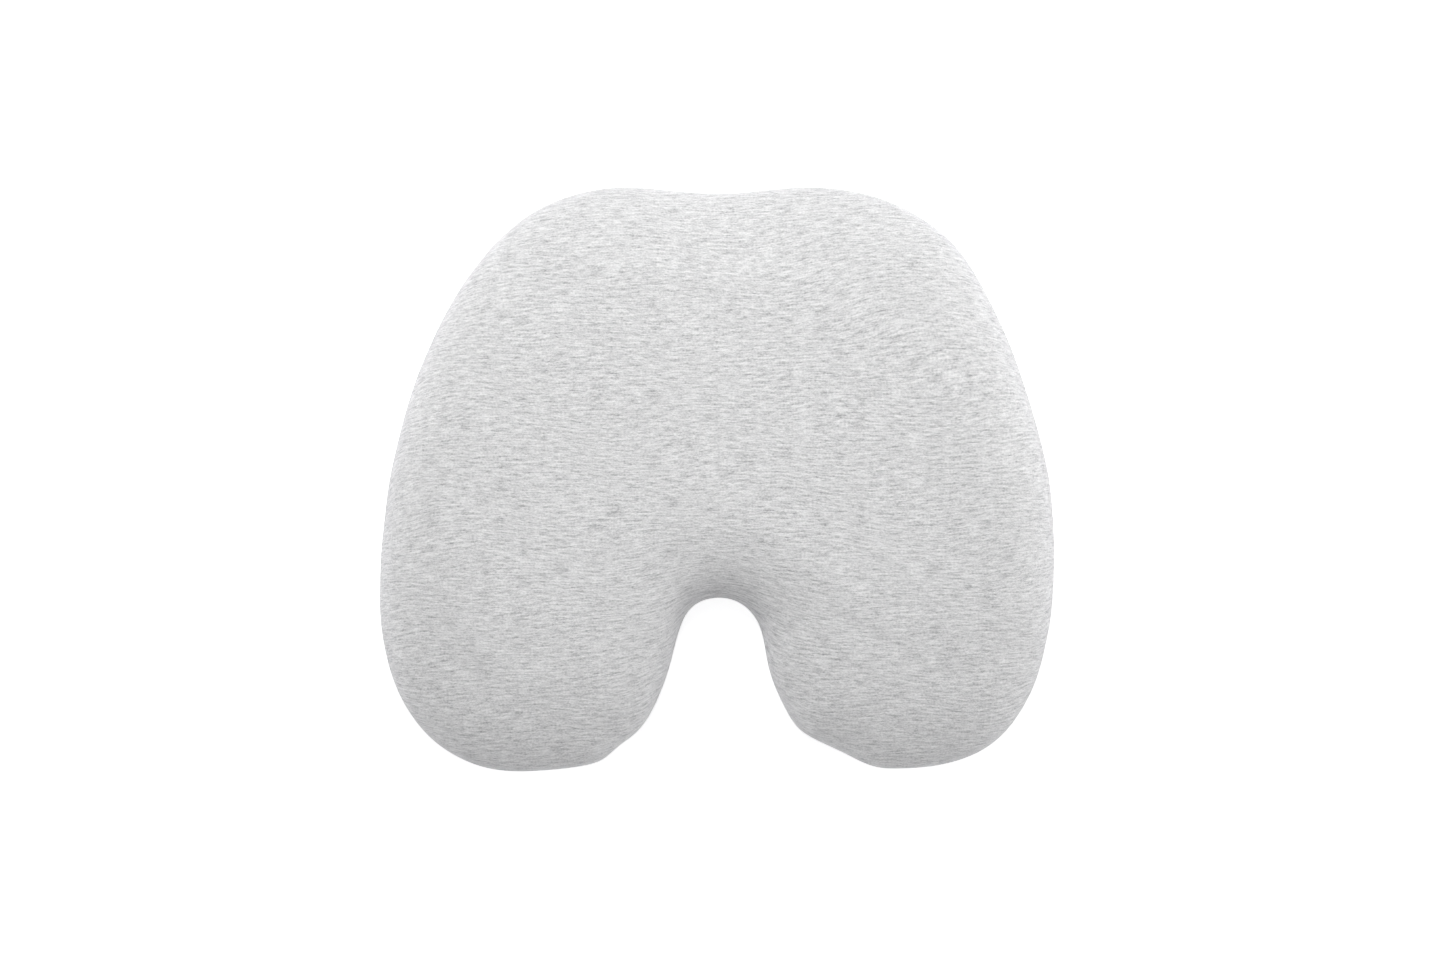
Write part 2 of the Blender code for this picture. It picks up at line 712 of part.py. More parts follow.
def build_tab(surface, parent):
    """Pull tab: a rounded plate with a window round the crown, hanging on its own end bar."""
    z = zip_heights()
    axis = Vector((slider_start(surface), ZIP_Y, z["pivot"]))
    end_bar = TAB_THICKNESS / 2
    grip_centre = TAB_LENGTH - TAB_HALF_WIDTH
    plan = [(-end_bar, TAB_HALF_WIDTH), (-end_bar, -TAB_HALF_WIDTH)]
    for step in range(9):
        turn = math.pi * (step / 8 - 0.5)
        x, y = TAB_HALF_WIDTH * math.cos(turn), TAB_HALF_WIDTH * math.sin(turn)
        plan.append((grip_centre + x, y))
    low, high = z["pivot"] - TAB_THICKNESS / 2, z["pivot"] + TAB_THICKNESS / 2
    bm = prism([(axis.x + x, ZIP_Y + y) for x, y in plan], low, high)
    tab = add_object("zip_pull_tab", bm, "zip_metal", parent, axis)
    side_bar = TAB_HALF_WIDTH - CROWN_WIDTH / 2 - ZIP_CLEARANCE * 2
    window = rectangle(
        (axis.x + end_bar, ZIP_Y - TAB_HALF_WIDTH + side_bar),
        (axis.x + end_bar + TAB_WINDOW, ZIP_Y + TAB_HALF_WIDTH - side_bar),
    )
    boolean(tab, cutter("tab_window", prism(window, low - HEIGHT, high + HEIGHT)), "DIFFERENCE")
    return tab


def main():
    clear_scene()
    cushion = bpy.data.objects.new("cushion", None)
    slider_frame = bpy.data.objects.new("slider_frame", None)
    for empty in (cushion, slider_frame):
        bpy.context.scene.collection.objects.link(empty)
    slider_frame.parent = cushion
    surface = Surface()
    build_soft_goods(surface, cushion)
    build_zip(surface, cushion)
    build_slider(surface, slider_frame)
    build_tab(surface, slider_frame)


main()
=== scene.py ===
import math

import bmesh
import bpy
import numpy as np
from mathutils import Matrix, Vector
from mathutils.geometry import delaunay_2d_cdt


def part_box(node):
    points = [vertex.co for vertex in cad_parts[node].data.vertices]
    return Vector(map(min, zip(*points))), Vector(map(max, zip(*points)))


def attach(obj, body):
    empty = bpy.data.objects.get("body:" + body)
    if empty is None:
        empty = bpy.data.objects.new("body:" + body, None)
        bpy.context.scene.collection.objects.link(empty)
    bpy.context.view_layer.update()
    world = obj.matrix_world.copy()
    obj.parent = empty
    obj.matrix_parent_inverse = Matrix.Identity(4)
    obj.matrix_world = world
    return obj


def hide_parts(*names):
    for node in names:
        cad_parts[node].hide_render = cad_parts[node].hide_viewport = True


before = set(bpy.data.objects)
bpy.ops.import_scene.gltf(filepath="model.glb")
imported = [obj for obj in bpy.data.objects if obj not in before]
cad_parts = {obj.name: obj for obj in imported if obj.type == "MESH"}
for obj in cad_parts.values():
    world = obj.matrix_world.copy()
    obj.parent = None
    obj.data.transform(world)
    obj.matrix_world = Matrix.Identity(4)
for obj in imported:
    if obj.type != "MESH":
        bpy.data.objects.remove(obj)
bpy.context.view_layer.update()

# A contoured foam seat cushion in a heather jersey cover. The cover is drawn tight over the foam, and its
# dark base panels carry silicone grip dots and close with a coil zip. Lengths are in metres.

# ---------------------------------------------------------------- sizes taken from the frame

COVER_LOW, COVER_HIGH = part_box("cover_upper")
PANEL_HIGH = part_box("base_panel_front")[1]
TAPE_LOW, TAPE_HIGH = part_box("zip_tape_front")
COIL_LOW, COIL_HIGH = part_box("zip_coil_front")
REAR_COIL_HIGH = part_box("zip_coil_rear")[1]

HALF_WIDTH = (COVER_HIGH.x - COVER_LOW.x) / 2
HALF_DEPTH = (COVER_HIGH.y - COVER_LOW.y) / 2
SEAT_Z = COVER_HIGH.z
SEAM_Z = (COVER_LOW.z + PANEL_HIGH.z) / 2
ZIP_Y = (COIL_LOW.y + REAR_COIL_HIGH.y) / 2
CHAIN_X = COIL_HIGH.x
STOP_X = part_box("zip_bottom_stop")[1].x
WAIST_Z = max(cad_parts["cover_upper"].data.vertices, key=lambda vertex: vertex.co.x).co.z

# ---------------------------------------------------------------- shape of the stuffed cover

# Plan outline, clockwise from the middle of the front edge: shares of the half width and the half depth, and
# the plan width of the rounded edge. Like any sewn cover, it is a little fuller on one side than the other.
OUTLINE = (
    (0.020, 0.977, 0.058),
    (0.272, 1.000, 0.058),
    (0.541, 0.934, 0.056),
    (0.702, 0.797, 0.052),
    (0.813, 0.590, 0.048),
    (0.891, 0.383, 0.046),
    (0.947, 0.177, 0.046),
    (0.991, -0.100, 0.046),
    (0.998, -0.350, 0.048),
    (0.981, -0.540, 0.052),
    (0.905, -0.784, 0.056),
    (0.785, -0.922, 0.055),
    (0.640, -0.978, 0.056),
    (0.545, -0.988, 0.056),
    (0.467, -0.984, 0.055),
    (0.385, -0.943, 0.054),
    (0.302, -0.899, 0.053),
    (0.246, -0.860, 0.054),
    (0.198, -0.776, 0.057),
    (0.151, -0.640, 0.060),
    (0.124, -0.498, 0.056),
    (0.083, -0.437, 0.047),
    (0.004, -0.405, 0.040),
    (-0.085, -0.441, 0.036),
    (-0.119, -0.514, 0.033),
    (-0.151, -0.648, 0.034),
    (-0.198, -0.784, 0.038),
    (-0.256, -0.872, 0.045),
    (-0.304, -0.915, 0.049),
    (-0.344, -0.957, 0.051),
    (-0.410, -0.982, 0.053),
    (-0.550, -1.000, 0.056),
    (-0.700, -0.986, 0.056),
    (-0.817, -0.920, 0.055),
    (-0.925, -0.784, 0.056),
    (-0.994, -0.560, 0.052),
    (-1.005, -0.330, 0.048),
    (-0.990, -0.080, 0.046),
    (-0.941, 0.177, 0.046),
    (-0.884, 0.383, 0.046),
    (-0.800, 0.590, 0.048),
    (-0.672, 0.795, 0.052),
    (-0.524, 0.932, 0.056),
    (-0.330, 0.998, 0.058),
    (-0.160, 0.992, 0.058),
)

# How far the side is drawn in from the waist to the floor, outside and in the notch. A point in the rear half
# belongs to the notch if it is nearer to the middle line than this share of the half width.
UNDERCUT = 0.026
NOTCH_UNDERCUT = 0.015
NOTCH_REACH = 0.30

# The seat: a shallow well on each side, and where its falls to the front and to the rear begin.
WELL_DEPTH = 0.0035
WELL_X, WELL_Y = 0.098, 0.022
WELL_RADIUS_X, WELL_RADIUS_Y = 0.062, 0.085
FRONT_FALL, FRONT_FALL_START = 0.012, 0.060
REAR_FALL, REAR_FALL_START = 0.016, 0.030

# Fabric thicknesses, and how far below the cover's outer face each layer inside it lies.
KNIT = 0.0013
GRIP = 0.0018
LINER = 0.0008
LAYER_GAP = 0.0004
GRIP_DOT_HEIGHT = 0.0006

# Seam between the knit and the base: both fabrics roll inwards to it.
SEAM_GAP = 0.0004
SEAM_ROLL_DEPTH = 0.0016
SEAM_ROLL_WIDTH = 0.0026

# Recess and slot that the zip lies in, from its middle line outwards.
SLOT_HALF_WIDTH = 0.0085
SLOT_TAPER = 0.010
LAND_HALF_WIDTH = 0.0135
FOOT_HALF_WIDTH = 0.0195
RECESS_END = 0.012
TAPE_GAP = 0.0003
LAND_X = TAPE_HIGH.x + LAYER_GAP
RECESS_X = LAND_X + RECESS_END
HEM_RISE = TAPE_LOW.z - TAPE_GAP - GRIP - GRIP_DOT_HEIGHT
ON_FLOOR = 1e-4

# Mesh fineness. Rings lie at the roll steps from the seam, and then evenly.
OUTLINE_POINTS = 270
SPLINE_STEPS = 24
FILL = 0.0068
FILL_MARGIN = 0.6
ROLL_STEPS = (0.0, 0.0009, 0.0018, 0.0028, 0.0042, 0.0062)
SIDE_RINGS = 5
EDGE_RINGS = 13
BASE_RINGS = 3
SAME_PLACE = 1e-7

# Rows of points along the zip's recess, from its middle line outwards, and how many columns cross its land.
ZIP_ROWS = (0.0, 0.006, 0.0105, LAND_HALF_WIDTH, 0.0155, 0.0175, FOOT_HALF_WIDTH, 0.0225)
ZIP_COLUMNS = 49

# The cover's directions and its undercut are averaged over one part in this many of the way round.
DIRECTION_PARTS = 16
UNDERCUT_PARTS = 24


def smooth_step(value):
    """An even ease from 0 to 1."""
    value = np.clip(value, 0.0, 1.0)
    return value * value * (3.0 - 2.0 * value)


def closed_spline(anchors, count):
    """Evenly spaced points and tangents along the closed cubic spline through the anchors."""
    anchors = np.array(anchors, float)
    n = len(anchors)
    chords = np.linalg.norm(np.roll(anchors, -1, axis=0)[:, :2] - anchors[:, :2], axis=1)
    system, wanted = np.zeros((n, n)), np.zeros(anchors.shape)
    for i in range(n):
        before, after, following = chords[i - 1], chords[i], (i + 1) % n
        system[i, i - 1], system[i, i], system[i, following] = after, 2 * (before + after), before
        step_in, step_out = anchors[i] - anchors[i - 1], anchors[following] - anchors[i]
        wanted[i] = 3 * (after / before * step_in + before / after * step_out)
    slopes = np.linalg.solve(system, wanted)
    fine = []
    for i in range(n):
        a, b = anchors[i], anchors[(i + 1) % n]
        da, db = slopes[i] * chords[i], slopes[(i + 1) % n] * chords[i]
        for t in np.linspace(0, 1, SPLINE_STEPS, endpoint=False):
            hold = (2 * t**3 - 3 * t**2 + 1) * a + (3 * t**2 - 2 * t**3) * b
            fine.append(hold + (t**3 - 2 * t**2 + t) * da + (t**3 - t**2) * db)
    fine = np.array(fine + [fine[0]])
    length = np.concatenate([[0], np.cumsum(np.linalg.norm(np.diff(fine[:, :2], axis=0), axis=1))])
    places = np.linspace(0, length[-1], count, endpoint=False)
    points = np.column_stack([np.interp(places, length, fine[:, k]) for k in range(fine.shape[1])])
    tangents = np.roll(points, -1, axis=0)[:, :2] - np.roll(points, 1, axis=0)[:, :2]
    return points, tangents


def seat_height(x, y):
    """Height of the seat surface: two shallow wells, and a fall to the front and the rear."""
    wells = np.exp(-(((np.abs(x) - WELL_X) / WELL_RADIUS_X) ** 2) - ((y - WELL_Y) / WELL_RADIUS_Y) ** 2)
    front = np.clip((y - FRONT_FALL_START) / (HALF_DEPTH - FRONT_FALL_START), 0, 1) ** 2
    rear = np.clip((REAR_FALL_START - y) / (HALF_DEPTH + REAR_FALL_START), 0, 1) ** 1.6
    return SEAT_Z - WELL_DEPTH * wells - FRONT_FALL * front - REAR_FALL * rear


def hex_points(ring, spacing):
    """A staggered grid of points inside a ring, and a little clear of it."""
    low, high = ring.min(axis=0), ring.max(axis=0)
    row_step = spacing * math.sqrt(0.75)
    rows = np.arange(low[1], high[1], row_step)
    found = []
    for i, y in enumerate(rows):
        xs = np.arange(low[0] + 0.5 * (i % 2) * spacing, high[0], spacing)
        found += [(x, y) for x in xs]
    points = np.array(found)
    nxt = np.roll(ring, -1, axis=0)
    crossings = np.zeros(len(points), int)
    nearest = np.full(len(points), np.inf)
    for a, b in zip(ring, nxt):
        if a[1] != b[1]:
            spans = (a[1] > points[:, 1]) != (b[1] > points[:, 1])
            at = a[0] + (points[:, 1] - a[1]) / (b[1] - a[1]) * (b[0] - a[0])
            crossings += spans & (points[:, 0] < at)
        side = b - a
        share = np.clip(((points - a) @ side) / (side @ side), 0, 1)
        gap = np.linalg.norm(a + share[:, None] * side - points, axis=1)
        nearest = np.minimum(nearest, gap)
    return points[(crossings % 2 == 1) & (nearest > FILL_MARGIN * spacing)]


class Skin:
    """The stuffed cover's outer face, as rings from the seam up over the edge to a filled seat, and from the
    seam down to a filled base. Each point has its place on the fabric before it was drawn over the foam."""

    def __init__(self, fineness=1.0):
        self.count = int(OUTLINE_POINTS * fineness)
        self.spacing = FILL / fineness
        rows = [(x * HALF_WIDTH, y * HALF_DEPTH, radius) for x, y, radius in OUTLINE]
        places, tangents = closed_spline(rows, self.count)
        self.plan, self.radius = places[:, :2], places[:, 2]
        inward = np.column_stack([tangents[:, 1], -tangents[:, 0]])
        inward = inward / np.linalg.norm(inward, axis=1, keepdims=True)
        inward = np.column_stack([self.evened(inward[:, k], DIRECTION_PARTS) for k in (0, 1)])
        self.inward = inward / np.linalg.norm(inward, axis=1, keepdims=True)
        in_notch = (np.abs(self.plan[:, 0]) < NOTCH_REACH * HALF_WIDTH) & (self.plan[:, 1] < 0)
        self.undercut = self.evened(np.where(in_notch, NOTCH_UNDERCUT, UNDERCUT), UNDERCUT_PARTS)
        self.seam_angle = math.acos(1 - SEAM_Z / WAIST_Z)
        self.per_radian = math.hypot(WAIST_Z, UNDERCUT) / math.sqrt(2)

    def evened(self, values, parts):
        """Values round the outline, each averaged over one part in so many of the way round."""
        window = np.hanning(max(5, self.count // parts))
        padded = np.concatenate([values[-len(window) :], values, values[: len(window)]])
        return np.convolve(padded, window / window.sum(), "same")[len(window) : -len(window)]

    def under(self, angle):
        """A ring of the elliptical underside: angle 0 is on the floor, and a right angle is the waist."""
        plan = self.plan + self.inward * (self.undercut * (1 - math.sin(angle)))[:, None]
        return np.column_stack([plan, np.full(self.count, WAIST_Z * (1 - math.cos(angle)))])

    def edge(self, angle):
        """A ring of the rounded edge above the waist: a right angle is where the seat starts."""
        plan = self.plan + self.inward * (self.radius * (1 - math.cos(angle)))[:, None]
        height = WAIST_Z + (seat_height(plan[:, 0], plan[:, 1]) - WAIST_Z) * math.sin(angle)
        return np.column_stack([plan, height])

    def sheet(self, rings, extra, height, turned):
        """(points, faces, fabric places, distance from the seam) of rings closed by a fill."""
        inner = rings[-1]
        places = [inner[:, :2]]
        reach = [np.zeros(self.count)]
        for ring, following in zip(rings[-2::-1], rings[:0:-1]):
            step = np.linalg.norm(ring - following, axis=1)
            places.insert(0, places[0] - self.inward * step[:, None])
            reach.insert(0, reach[0] + step)
        from_seam = [reach[0] - r for r in reach]
        loop = list(range(self.count))
        placed = [Vector(p) for p in inner[:, :2]] + [Vector(p) for p in extra]
        _, _, triangles, origins, _, _ = delaunay_2d_cdt(placed, [], [loop[::-1]], 1, SAME_PLACE)
        first = self.count * (len(rings) - 1)
        faces = []
        for k in range(len(rings) - 1):
            for i in range(self.count):
                j = (i + 1) % self.count
                low, high = k * self.count, (k + 1) * self.count
                faces.append((low + j, low + i, high + i, high + j))
        faces += [tuple(first + origins[v][0] for v in face) for face in triangles]
        if turned:
            faces = [face[::-1] for face in faces]
        cap = np.column_stack([extra, height(extra[:, 0], extra[:, 1])])
        points = np.concatenate([*rings, cap])
        fabric = np.concatenate([*places, extra])
        distance = np.concatenate([*from_seam, np.full(len(extra), 1.0)])
        return points, faces, fabric, distance

    def upper(self):
        """The sheet above the seam."""
        angles = [self.seam_angle + step / self.per_radian for step in ROLL_STEPS]
        angles += list(np.linspace(angles[-1], math.pi / 2, SIDE_RINGS + 1)[1:])
        rings = [self.under(a) for a in angles]
        rings += [self.edge(a) for a in np.linspace(0, math.pi / 2, EDGE_RINGS + 1)[1:]]
        return self.sheet(rings, hex_points(rings[-1][:, :2], self.spacing), seat_height, turned=False)

    def base(self):
        """The sheet below the seam, flat where it rests, with rows of points along the zip's recess."""
        angles = [self.seam_angle - step / self.per_radian for step in ROLL_STEPS[:-1]]
        angles += list(np.linspace(angles[-1], 0, BASE_RINGS + 1)[1:])
        rings = [self.under(a) for a in angles]
        points = hex_points(rings[-1][:, :2], self.spacing)
        points = points[np.abs(points[:, 1] - ZIP_Y) > FOOT_HALF_WIDTH + self.spacing]
        ends = np.array([RECESS_X - RECESS_END / 2, RECESS_X])
        along = np.concatenate([-ends[::-1], np.linspace(-LAND_X, LAND_X, ZIP_COLUMNS), ends])
        half = np.array(ZIP_ROWS)
        across = np.concatenate([-half[:0:-1], half])
        rows = np.array([(x, ZIP_Y + v) for v in across for x in along])
        points = np.concatenate([points, rows])
        return self.sheet(rings, points, lambda x, y: 0 * x, turned=True)


def recess_rise(points):
    """How much the base is raised over the zip's recess."""
    along = smooth_step((RECESS_X - np.abs(points[:, 0])) / RECESS_END)
    foot = FOOT_HALF_WIDTH - LAND_HALF_WIDTH
    across = smooth_step((FOOT_HALF_WIDTH - np.abs(points[:, 1] - ZIP_Y)) / foot)
    return np.where(points[:, 2] < ON_FLOOR, along * across, 0.0)


def normals_of(points, faces):
    """Unit normals of a mesh's points, each face weighted by its area."""
    normals = np.zeros(points.shape)
    for size in (3, 4):
        chosen = np.array([f for f in faces if len(f) == size], int).reshape(-1, size)
        if len(chosen):
            a, b = points[chosen[:, 0]], points[chosen[:, 1]]
            c, d = points[chosen[:, 2]], points[chosen[:, size - 1]]
            across = np.cross(c - a, d - b) if size == 4 else np.cross(b - a, c - a)
            for k in range(size):
                np.add.at(normals, chosen[:, k], across)
    return normals / np.maximum(np.linalg.norm(normals, axis=1, keepdims=True), 1e-12)


def linked(name, data):
    """A new object in the scene."""
    obj = bpy.data.objects.new(name, data)
    bpy.context.scene.collection.objects.link(obj)
    return obj


def mesh_object(name, points, faces, fabric=None):
    """A smooth-shaded object. Fabric places become the UV map that the cloth patterns read."""
    mesh = bpy.data.meshes.new(name)
    mesh.from_pydata([tuple(p) for p in points], [], [tuple(f) for f in faces])
    if fabric is not None:
        layer = mesh.uv_layers.new(name="fabric")
        corners = np.zeros(len(mesh.loops), np.int32)
        mesh.loops.foreach_get("vertex_index", corners)
        layer.data.foreach_set("uv", np.asarray(fabric, np.float32)[corners].ravel())
    mesh.validate()
    mesh.shade_smooth()
    return linked(name, mesh)


def modify(obj, kind, **settings):
    """Adds a modifier with its settings."""
    made = obj.modifiers.new(kind.lower(), kind)
    for key, value in settings.items():
        setattr(made, key, value)
    return made


def apply_modifiers(obj):
    """Turns the object's modifiers into plain mesh."""
    graph = bpy.context.evaluated_depsgraph_get()
    made = bpy.data.meshes.new_from_object(obj.evaluated_get(graph))
    obj.modifiers.clear()
    obj.data = made
    return obj


def coordinates(obj):
    """The places of an object's points."""
    points = np.zeros(len(obj.data.vertices) * 3, np.float32)
    obj.data.vertices.foreach_get("co", points)
    return points.reshape(-1, 3).astype(float)


def set_coordinates(obj, points):
    """Moves an object's points."""
    obj.data.vertices.foreach_set("co", points.astype(np.float32).ravel())
    obj.data.update()


# ---------------------------------------------------------------- fabric pattern over the cover

# Where the courses of the knit are pulled out of straight as the cover is drawn over the foam: they arch over
# the notch, lean a little at the sides and at one front corner, and drift and ripple slightly everywhere.
ARCH_RISE, ARCH_WIDTH = 0.0135, 0.046
ARCH_FROM, ARCH_FULL = -0.010, -0.095
SIDE_START = 0.150
LEFT_LEAN, RIGHT_LEAN = 0.93, 0.58
CORNER_LEAN = 0.013
CORNER_X, CORNER_SPAN_X = 0.015, 0.150
CORNER_Y, CORNER_SPAN_Y = 0.035, 0.080
DRIFT, DRIFT_X, DRIFT_Y, DRIFT_PHASE = 0.0016, 0.031, 0.043, 0.7
RIPPLE, RIPPLE_SPAN, RIPPLE_SLANT = 0.0012, 0.019, 1.3


def pulled_courses(fabric):
    """Fabric places, with the courses shifted to where the taut cover pulls them."""
    x, y = fabric[:, 0], fabric[:, 1]
    arch = ARCH_RISE * np.exp(-((x / ARCH_WIDTH) ** 2))
    arch = arch * smooth_step((ARCH_FROM - y) / (ARCH_FROM - ARCH_FULL))
    left = -LEFT_LEAN * np.maximum(0, -SIDE_START - x) ** 2
    right = RIGHT_LEAN * np.maximum(0, x - SIDE_START) ** 2
    corner = CORNER_LEAN * smooth_step((x - CORNER_X) / CORNER_SPAN_X)
    corner = corner * smooth_step((y - CORNER_Y) / CORNER_SPAN_Y)
    drift = DRIFT * np.sin(x / DRIFT_X + DRIFT_PHASE) * np.cos(y / DRIFT_Y)
    drift = drift + RIPPLE * np.sin((x + RIPPLE_SLANT * y) / RIPPLE_SPAN)
    return np.column_stack([x, y - arch - left - right - corner - drift])


# ---------------------------------------------------------------- cloth

CLOTH_FRAMES = 16
CLOTH_SETTINGS = {
    "quality": 4,
    "mass": 0.25,
    "tension_stiffness": 18,
    "compression_stiffness": 18,
    "shear_stiffness": 8,
    "bending_stiffness": 0.6,
    "use_pressure": True,
    "uniform_pressure_force": 4.0,
}

# The cover starts a little inside its place. A point may swell out or slide only so far, and a strip at the
# seam is held.
SLACK_DEPTH = 0.0008
MOST_SWELL = 0.0026
MOST_SLIDE = 0.0010
HELD_STRIP = 0.0065

# Fullness makes up for what the slack and the subdivision take off. The relief is what the foam's own
# unevenness shows through the knit: the height, size and seed of each layer of it.
FULLNESS, FULLNESS_START = 0.0016, 0.015
RELIEF = ((0.00045, 0.110, 3), (0.00022, 0.042, 8))
RELIEF_START = 0.030
WAVE_COUNT = 14


def drawn_tight(obj, normals, held):
    """The points of a cover that swells over its foam. Those in held stay, and none moves inwards."""
    before = coordinates(obj)
    group = obj.vertex_groups.new(name="held")
    group.add([int(i) for i in held], 1.0, "REPLACE")
    cloth = modify(obj, "CLOTH")
    cloth.settings.vertex_group_mass = "held"
    for key, value in CLOTH_SETTINGS.items():
        setattr(cloth.settings, key, value)
    cloth.settings.effector_weights.gravity = 0
    cloth.collision_settings.use_collision = False
    scene = bpy.context.scene
    for number in range(1, CLOTH_FRAMES + 1):
        scene.frame_set(number)
    graph = bpy.context.evaluated_depsgraph_get()
    made = obj.evaluated_get(graph).to_mesh()
    after = np.zeros(len(before) * 3, np.float32)
    made.vertices.foreach_get("co", after)
    obj.evaluated_get(graph).to_mesh_clear()
    obj.modifiers.clear()
    scene.frame_set(1)
    move = after.reshape(-1, 3) - before
    outwards = (move * normals).sum(axis=1, keepdims=True)
    slide = move - outwards * normals
    length = np.linalg.norm(slide, axis=1, keepdims=True)
    slide *= np.minimum(1.0, MOST_SLIDE / np.maximum(length, 1e-9))
    return before + slide + normals * np.clip(outwards, 0.0, MOST_SWELL)


def waves(points, size, seed):
    """Smooth noise over the points, mostly from -1 to 1, as a sum of waves in fixed random directions."""
    random = np.random.default_rng(seed)
    total = np.zeros(len(points))
    for _ in range(WAVE_COUNT):
        direction = random.normal(size=3)
        direction *= 2 * math.pi / (size * random.uniform(0.7, 1.5)) / np.linalg.norm(direction)
        total += np.sin(points @ direction + random.uniform(0, 2 * math.pi))
    return total / math.sqrt(WAVE_COUNT)


# ---------------------------------------------------------------- materials


def linear(hex_colour):
    """An sRGB hex colour as the linear RGBA that a socket takes."""
    values = [int(hex_colour[i : i + 2], 16) / 255 for i in (1, 3, 5)]
    return (*(v / 12.92 if v <= 0.04045 else ((v + 0.055) / 1.055) ** 2.4 for v in values), 1.0)


def wire(tree, node, inputs):
    """Sets or links a node's sockets, by name or number. A node as a value links by its first output."""
    for key, value in dict(inputs).items():
        if isinstance(value, bpy.types.Node):
            value = value.outputs[0]
        if isinstance(value, bpy.types.NodeSocket):
            tree.links.new(value, node.inputs[key])
        else:
            node.inputs[key].default_value = value


def add(tree, kind, inputs=(), stops=(), **settings):
    """Adds a node with its settings and links. Stops are the places and hex colours of a colour ramp."""
    made = tree.nodes.new(kind)
    for key, value in settings.items():
        setattr(made, key, value)
    for place, colour in stops[2:]:
        made.color_ramp.elements.new(place)
    for element, (place, colour) in zip(made.color_ramp.elements if stops else (), stops):
        element.position, element.color = place, linear(colour)
    wire(tree, made, inputs)
    return made


MATH, RAMP, BUMP = "ShaderNodeMath", "ShaderNodeValToRGB", "ShaderNodeBump"
NOISE, SPLIT, COMBINE = "ShaderNodeTexNoise", "ShaderNodeSeparateXYZ", "ShaderNodeCombineXYZ"


def new_finish(name, **sockets):
    """A material with a Principled shader, whose even values are set on its own sockets."""
    made = bpy.data.materials.new(name)
    made.use_nodes = True
    shader = made.node_tree.nodes["Principled BSDF"]
    wire(made.node_tree, shader, {key.replace("_", " "): value for key, value in sockets.items()})
    return made, made.node_tree, shader


def fabric_places(tree, along, across, shift=0.0):
    """The fabric's own places, with one unit as the given lengths along and across its courses."""
    places = add(tree, "ShaderNodeUVMap", uv_map="fabric")
    inputs = {"Vector": places, "Scale": (1 / along, 1 / across, 1.0), "Location": (shift, shift, 0.0)}
    return add(tree, "ShaderNodeMapping", inputs, vector_type="POINT")


def solid_places(tree, size):
    """Places in the solid piece, with one unit as the given length."""
    places = add(tree, "ShaderNodeTexCoord").outputs["Object"]
    return add(tree, "ShaderNodeMapping", {"Vector": places, "Scale": (1 / size, 1 / size, 1 / size)})


# Jersey of mixed light grey yarns. Real wales are about 0.8 mm apart, which is too fine to show, so they are
# drawn wider. The heather streaks are the longer stretches where one yarn shows.
WALE, COURSE = 0.0015, 0.0011
LOOP_SHARE = 0.08
HEATHER = (  # length, thickness, detail, roughness and share
    (0.0125, 0.00155, 3.0, 0.62, 0.52),  # streaks
    (0.0048, 0.00105, 2.0, 0.60, 0.36),  # short streaks
    (0.0014, 0.0009, 1.0, 0.50, 0.30),  # fuzz
    (0.030, 0.012, 2.0, 0.50, 0.06),  # patches
)
HEATHER_TONES = (
    (0.44, "#9C9D9E"),
    (0.54, "#BDBDBE"),
    (0.63, "#CFCFCF"),
    (0.71, "#DBDBDB"),
    (0.82, "#EAEAEA"),
)


def knit_loops(tree, wale, course):
    """Height of a plain knit: columns of V-shaped loops."""
    axes = add(tree, SPLIT, {0: fabric_places(tree, wale, course)})
    within = add(tree, MATH, {0: axes.outputs[0], 1: 0.5}, operation="PINGPONG")
    slanted = add(tree, MATH, {0: within, 1: 1.6, 2: axes.outputs[1]}, operation="MULTIPLY_ADD")
    loop = add(tree, MATH, {0: slanted, 1: 0.5}, operation="PINGPONG")
    turn = add(tree, MATH, {0: within, 1: 2 * math.pi}, operation="MULTIPLY")
    leg = add(tree, MATH, {0: turn}, operation="SINE")
    both = add(tree, MATH, {0: loop, 1: leg}, operation="MULTIPLY")
    return add(tree, MATH, {0: both, 1: 2.0}, operation="MULTIPLY")


def heather_jersey():
    """Soft cotton-blend jersey: matt, fuzzy at grazing angles, streaked along its courses."""
    made, tree, shader = new_finish(
        "heather jersey knit",
        Roughness=0.92,
        Specular_IOR_Level=0.18,
        Sheen_Weight=0.40,
        Sheen_Roughness=0.42,
        Sheen_Tint=linear("#F2F1F8"),
    )
    loops = knit_loops(tree, WALE, COURSE)
    mixed = add(tree, MATH, {0: loops, 1: LOOP_SHARE}, operation="MULTIPLY")
    for k, (length, thickness, detail, roughness, share) in enumerate(HEATHER):
        inputs = {"Vector": fabric_places(tree, length, thickness, shift=3.7 * k)}
        inputs.update({"Scale": 1.0, "Detail": detail, "Roughness": roughness})
        layer = add(tree, NOISE, inputs, noise_dimensions="2D")
        mixed = add(tree, MATH, {0: layer, 1: share, 2: mixed}, operation="MULTIPLY_ADD")
    colour = add(tree, RAMP, {0: mixed}, stops=HEATHER_TONES)
    coarse = add(tree, BUMP, {"Height": mixed, "Distance": 0.0008, "Strength": 0.6})
    fine = add(tree, BUMP, {"Height": loops, "Distance": 0.0002, "Strength": 0.5, "Normal": coarse})
    wire(tree, shader, {"Base Color": colour, "Normal": fine})
    return made


BASE_WEAVE = 0.0011  # its threads are 0.4 mm apart, and are drawn coarser


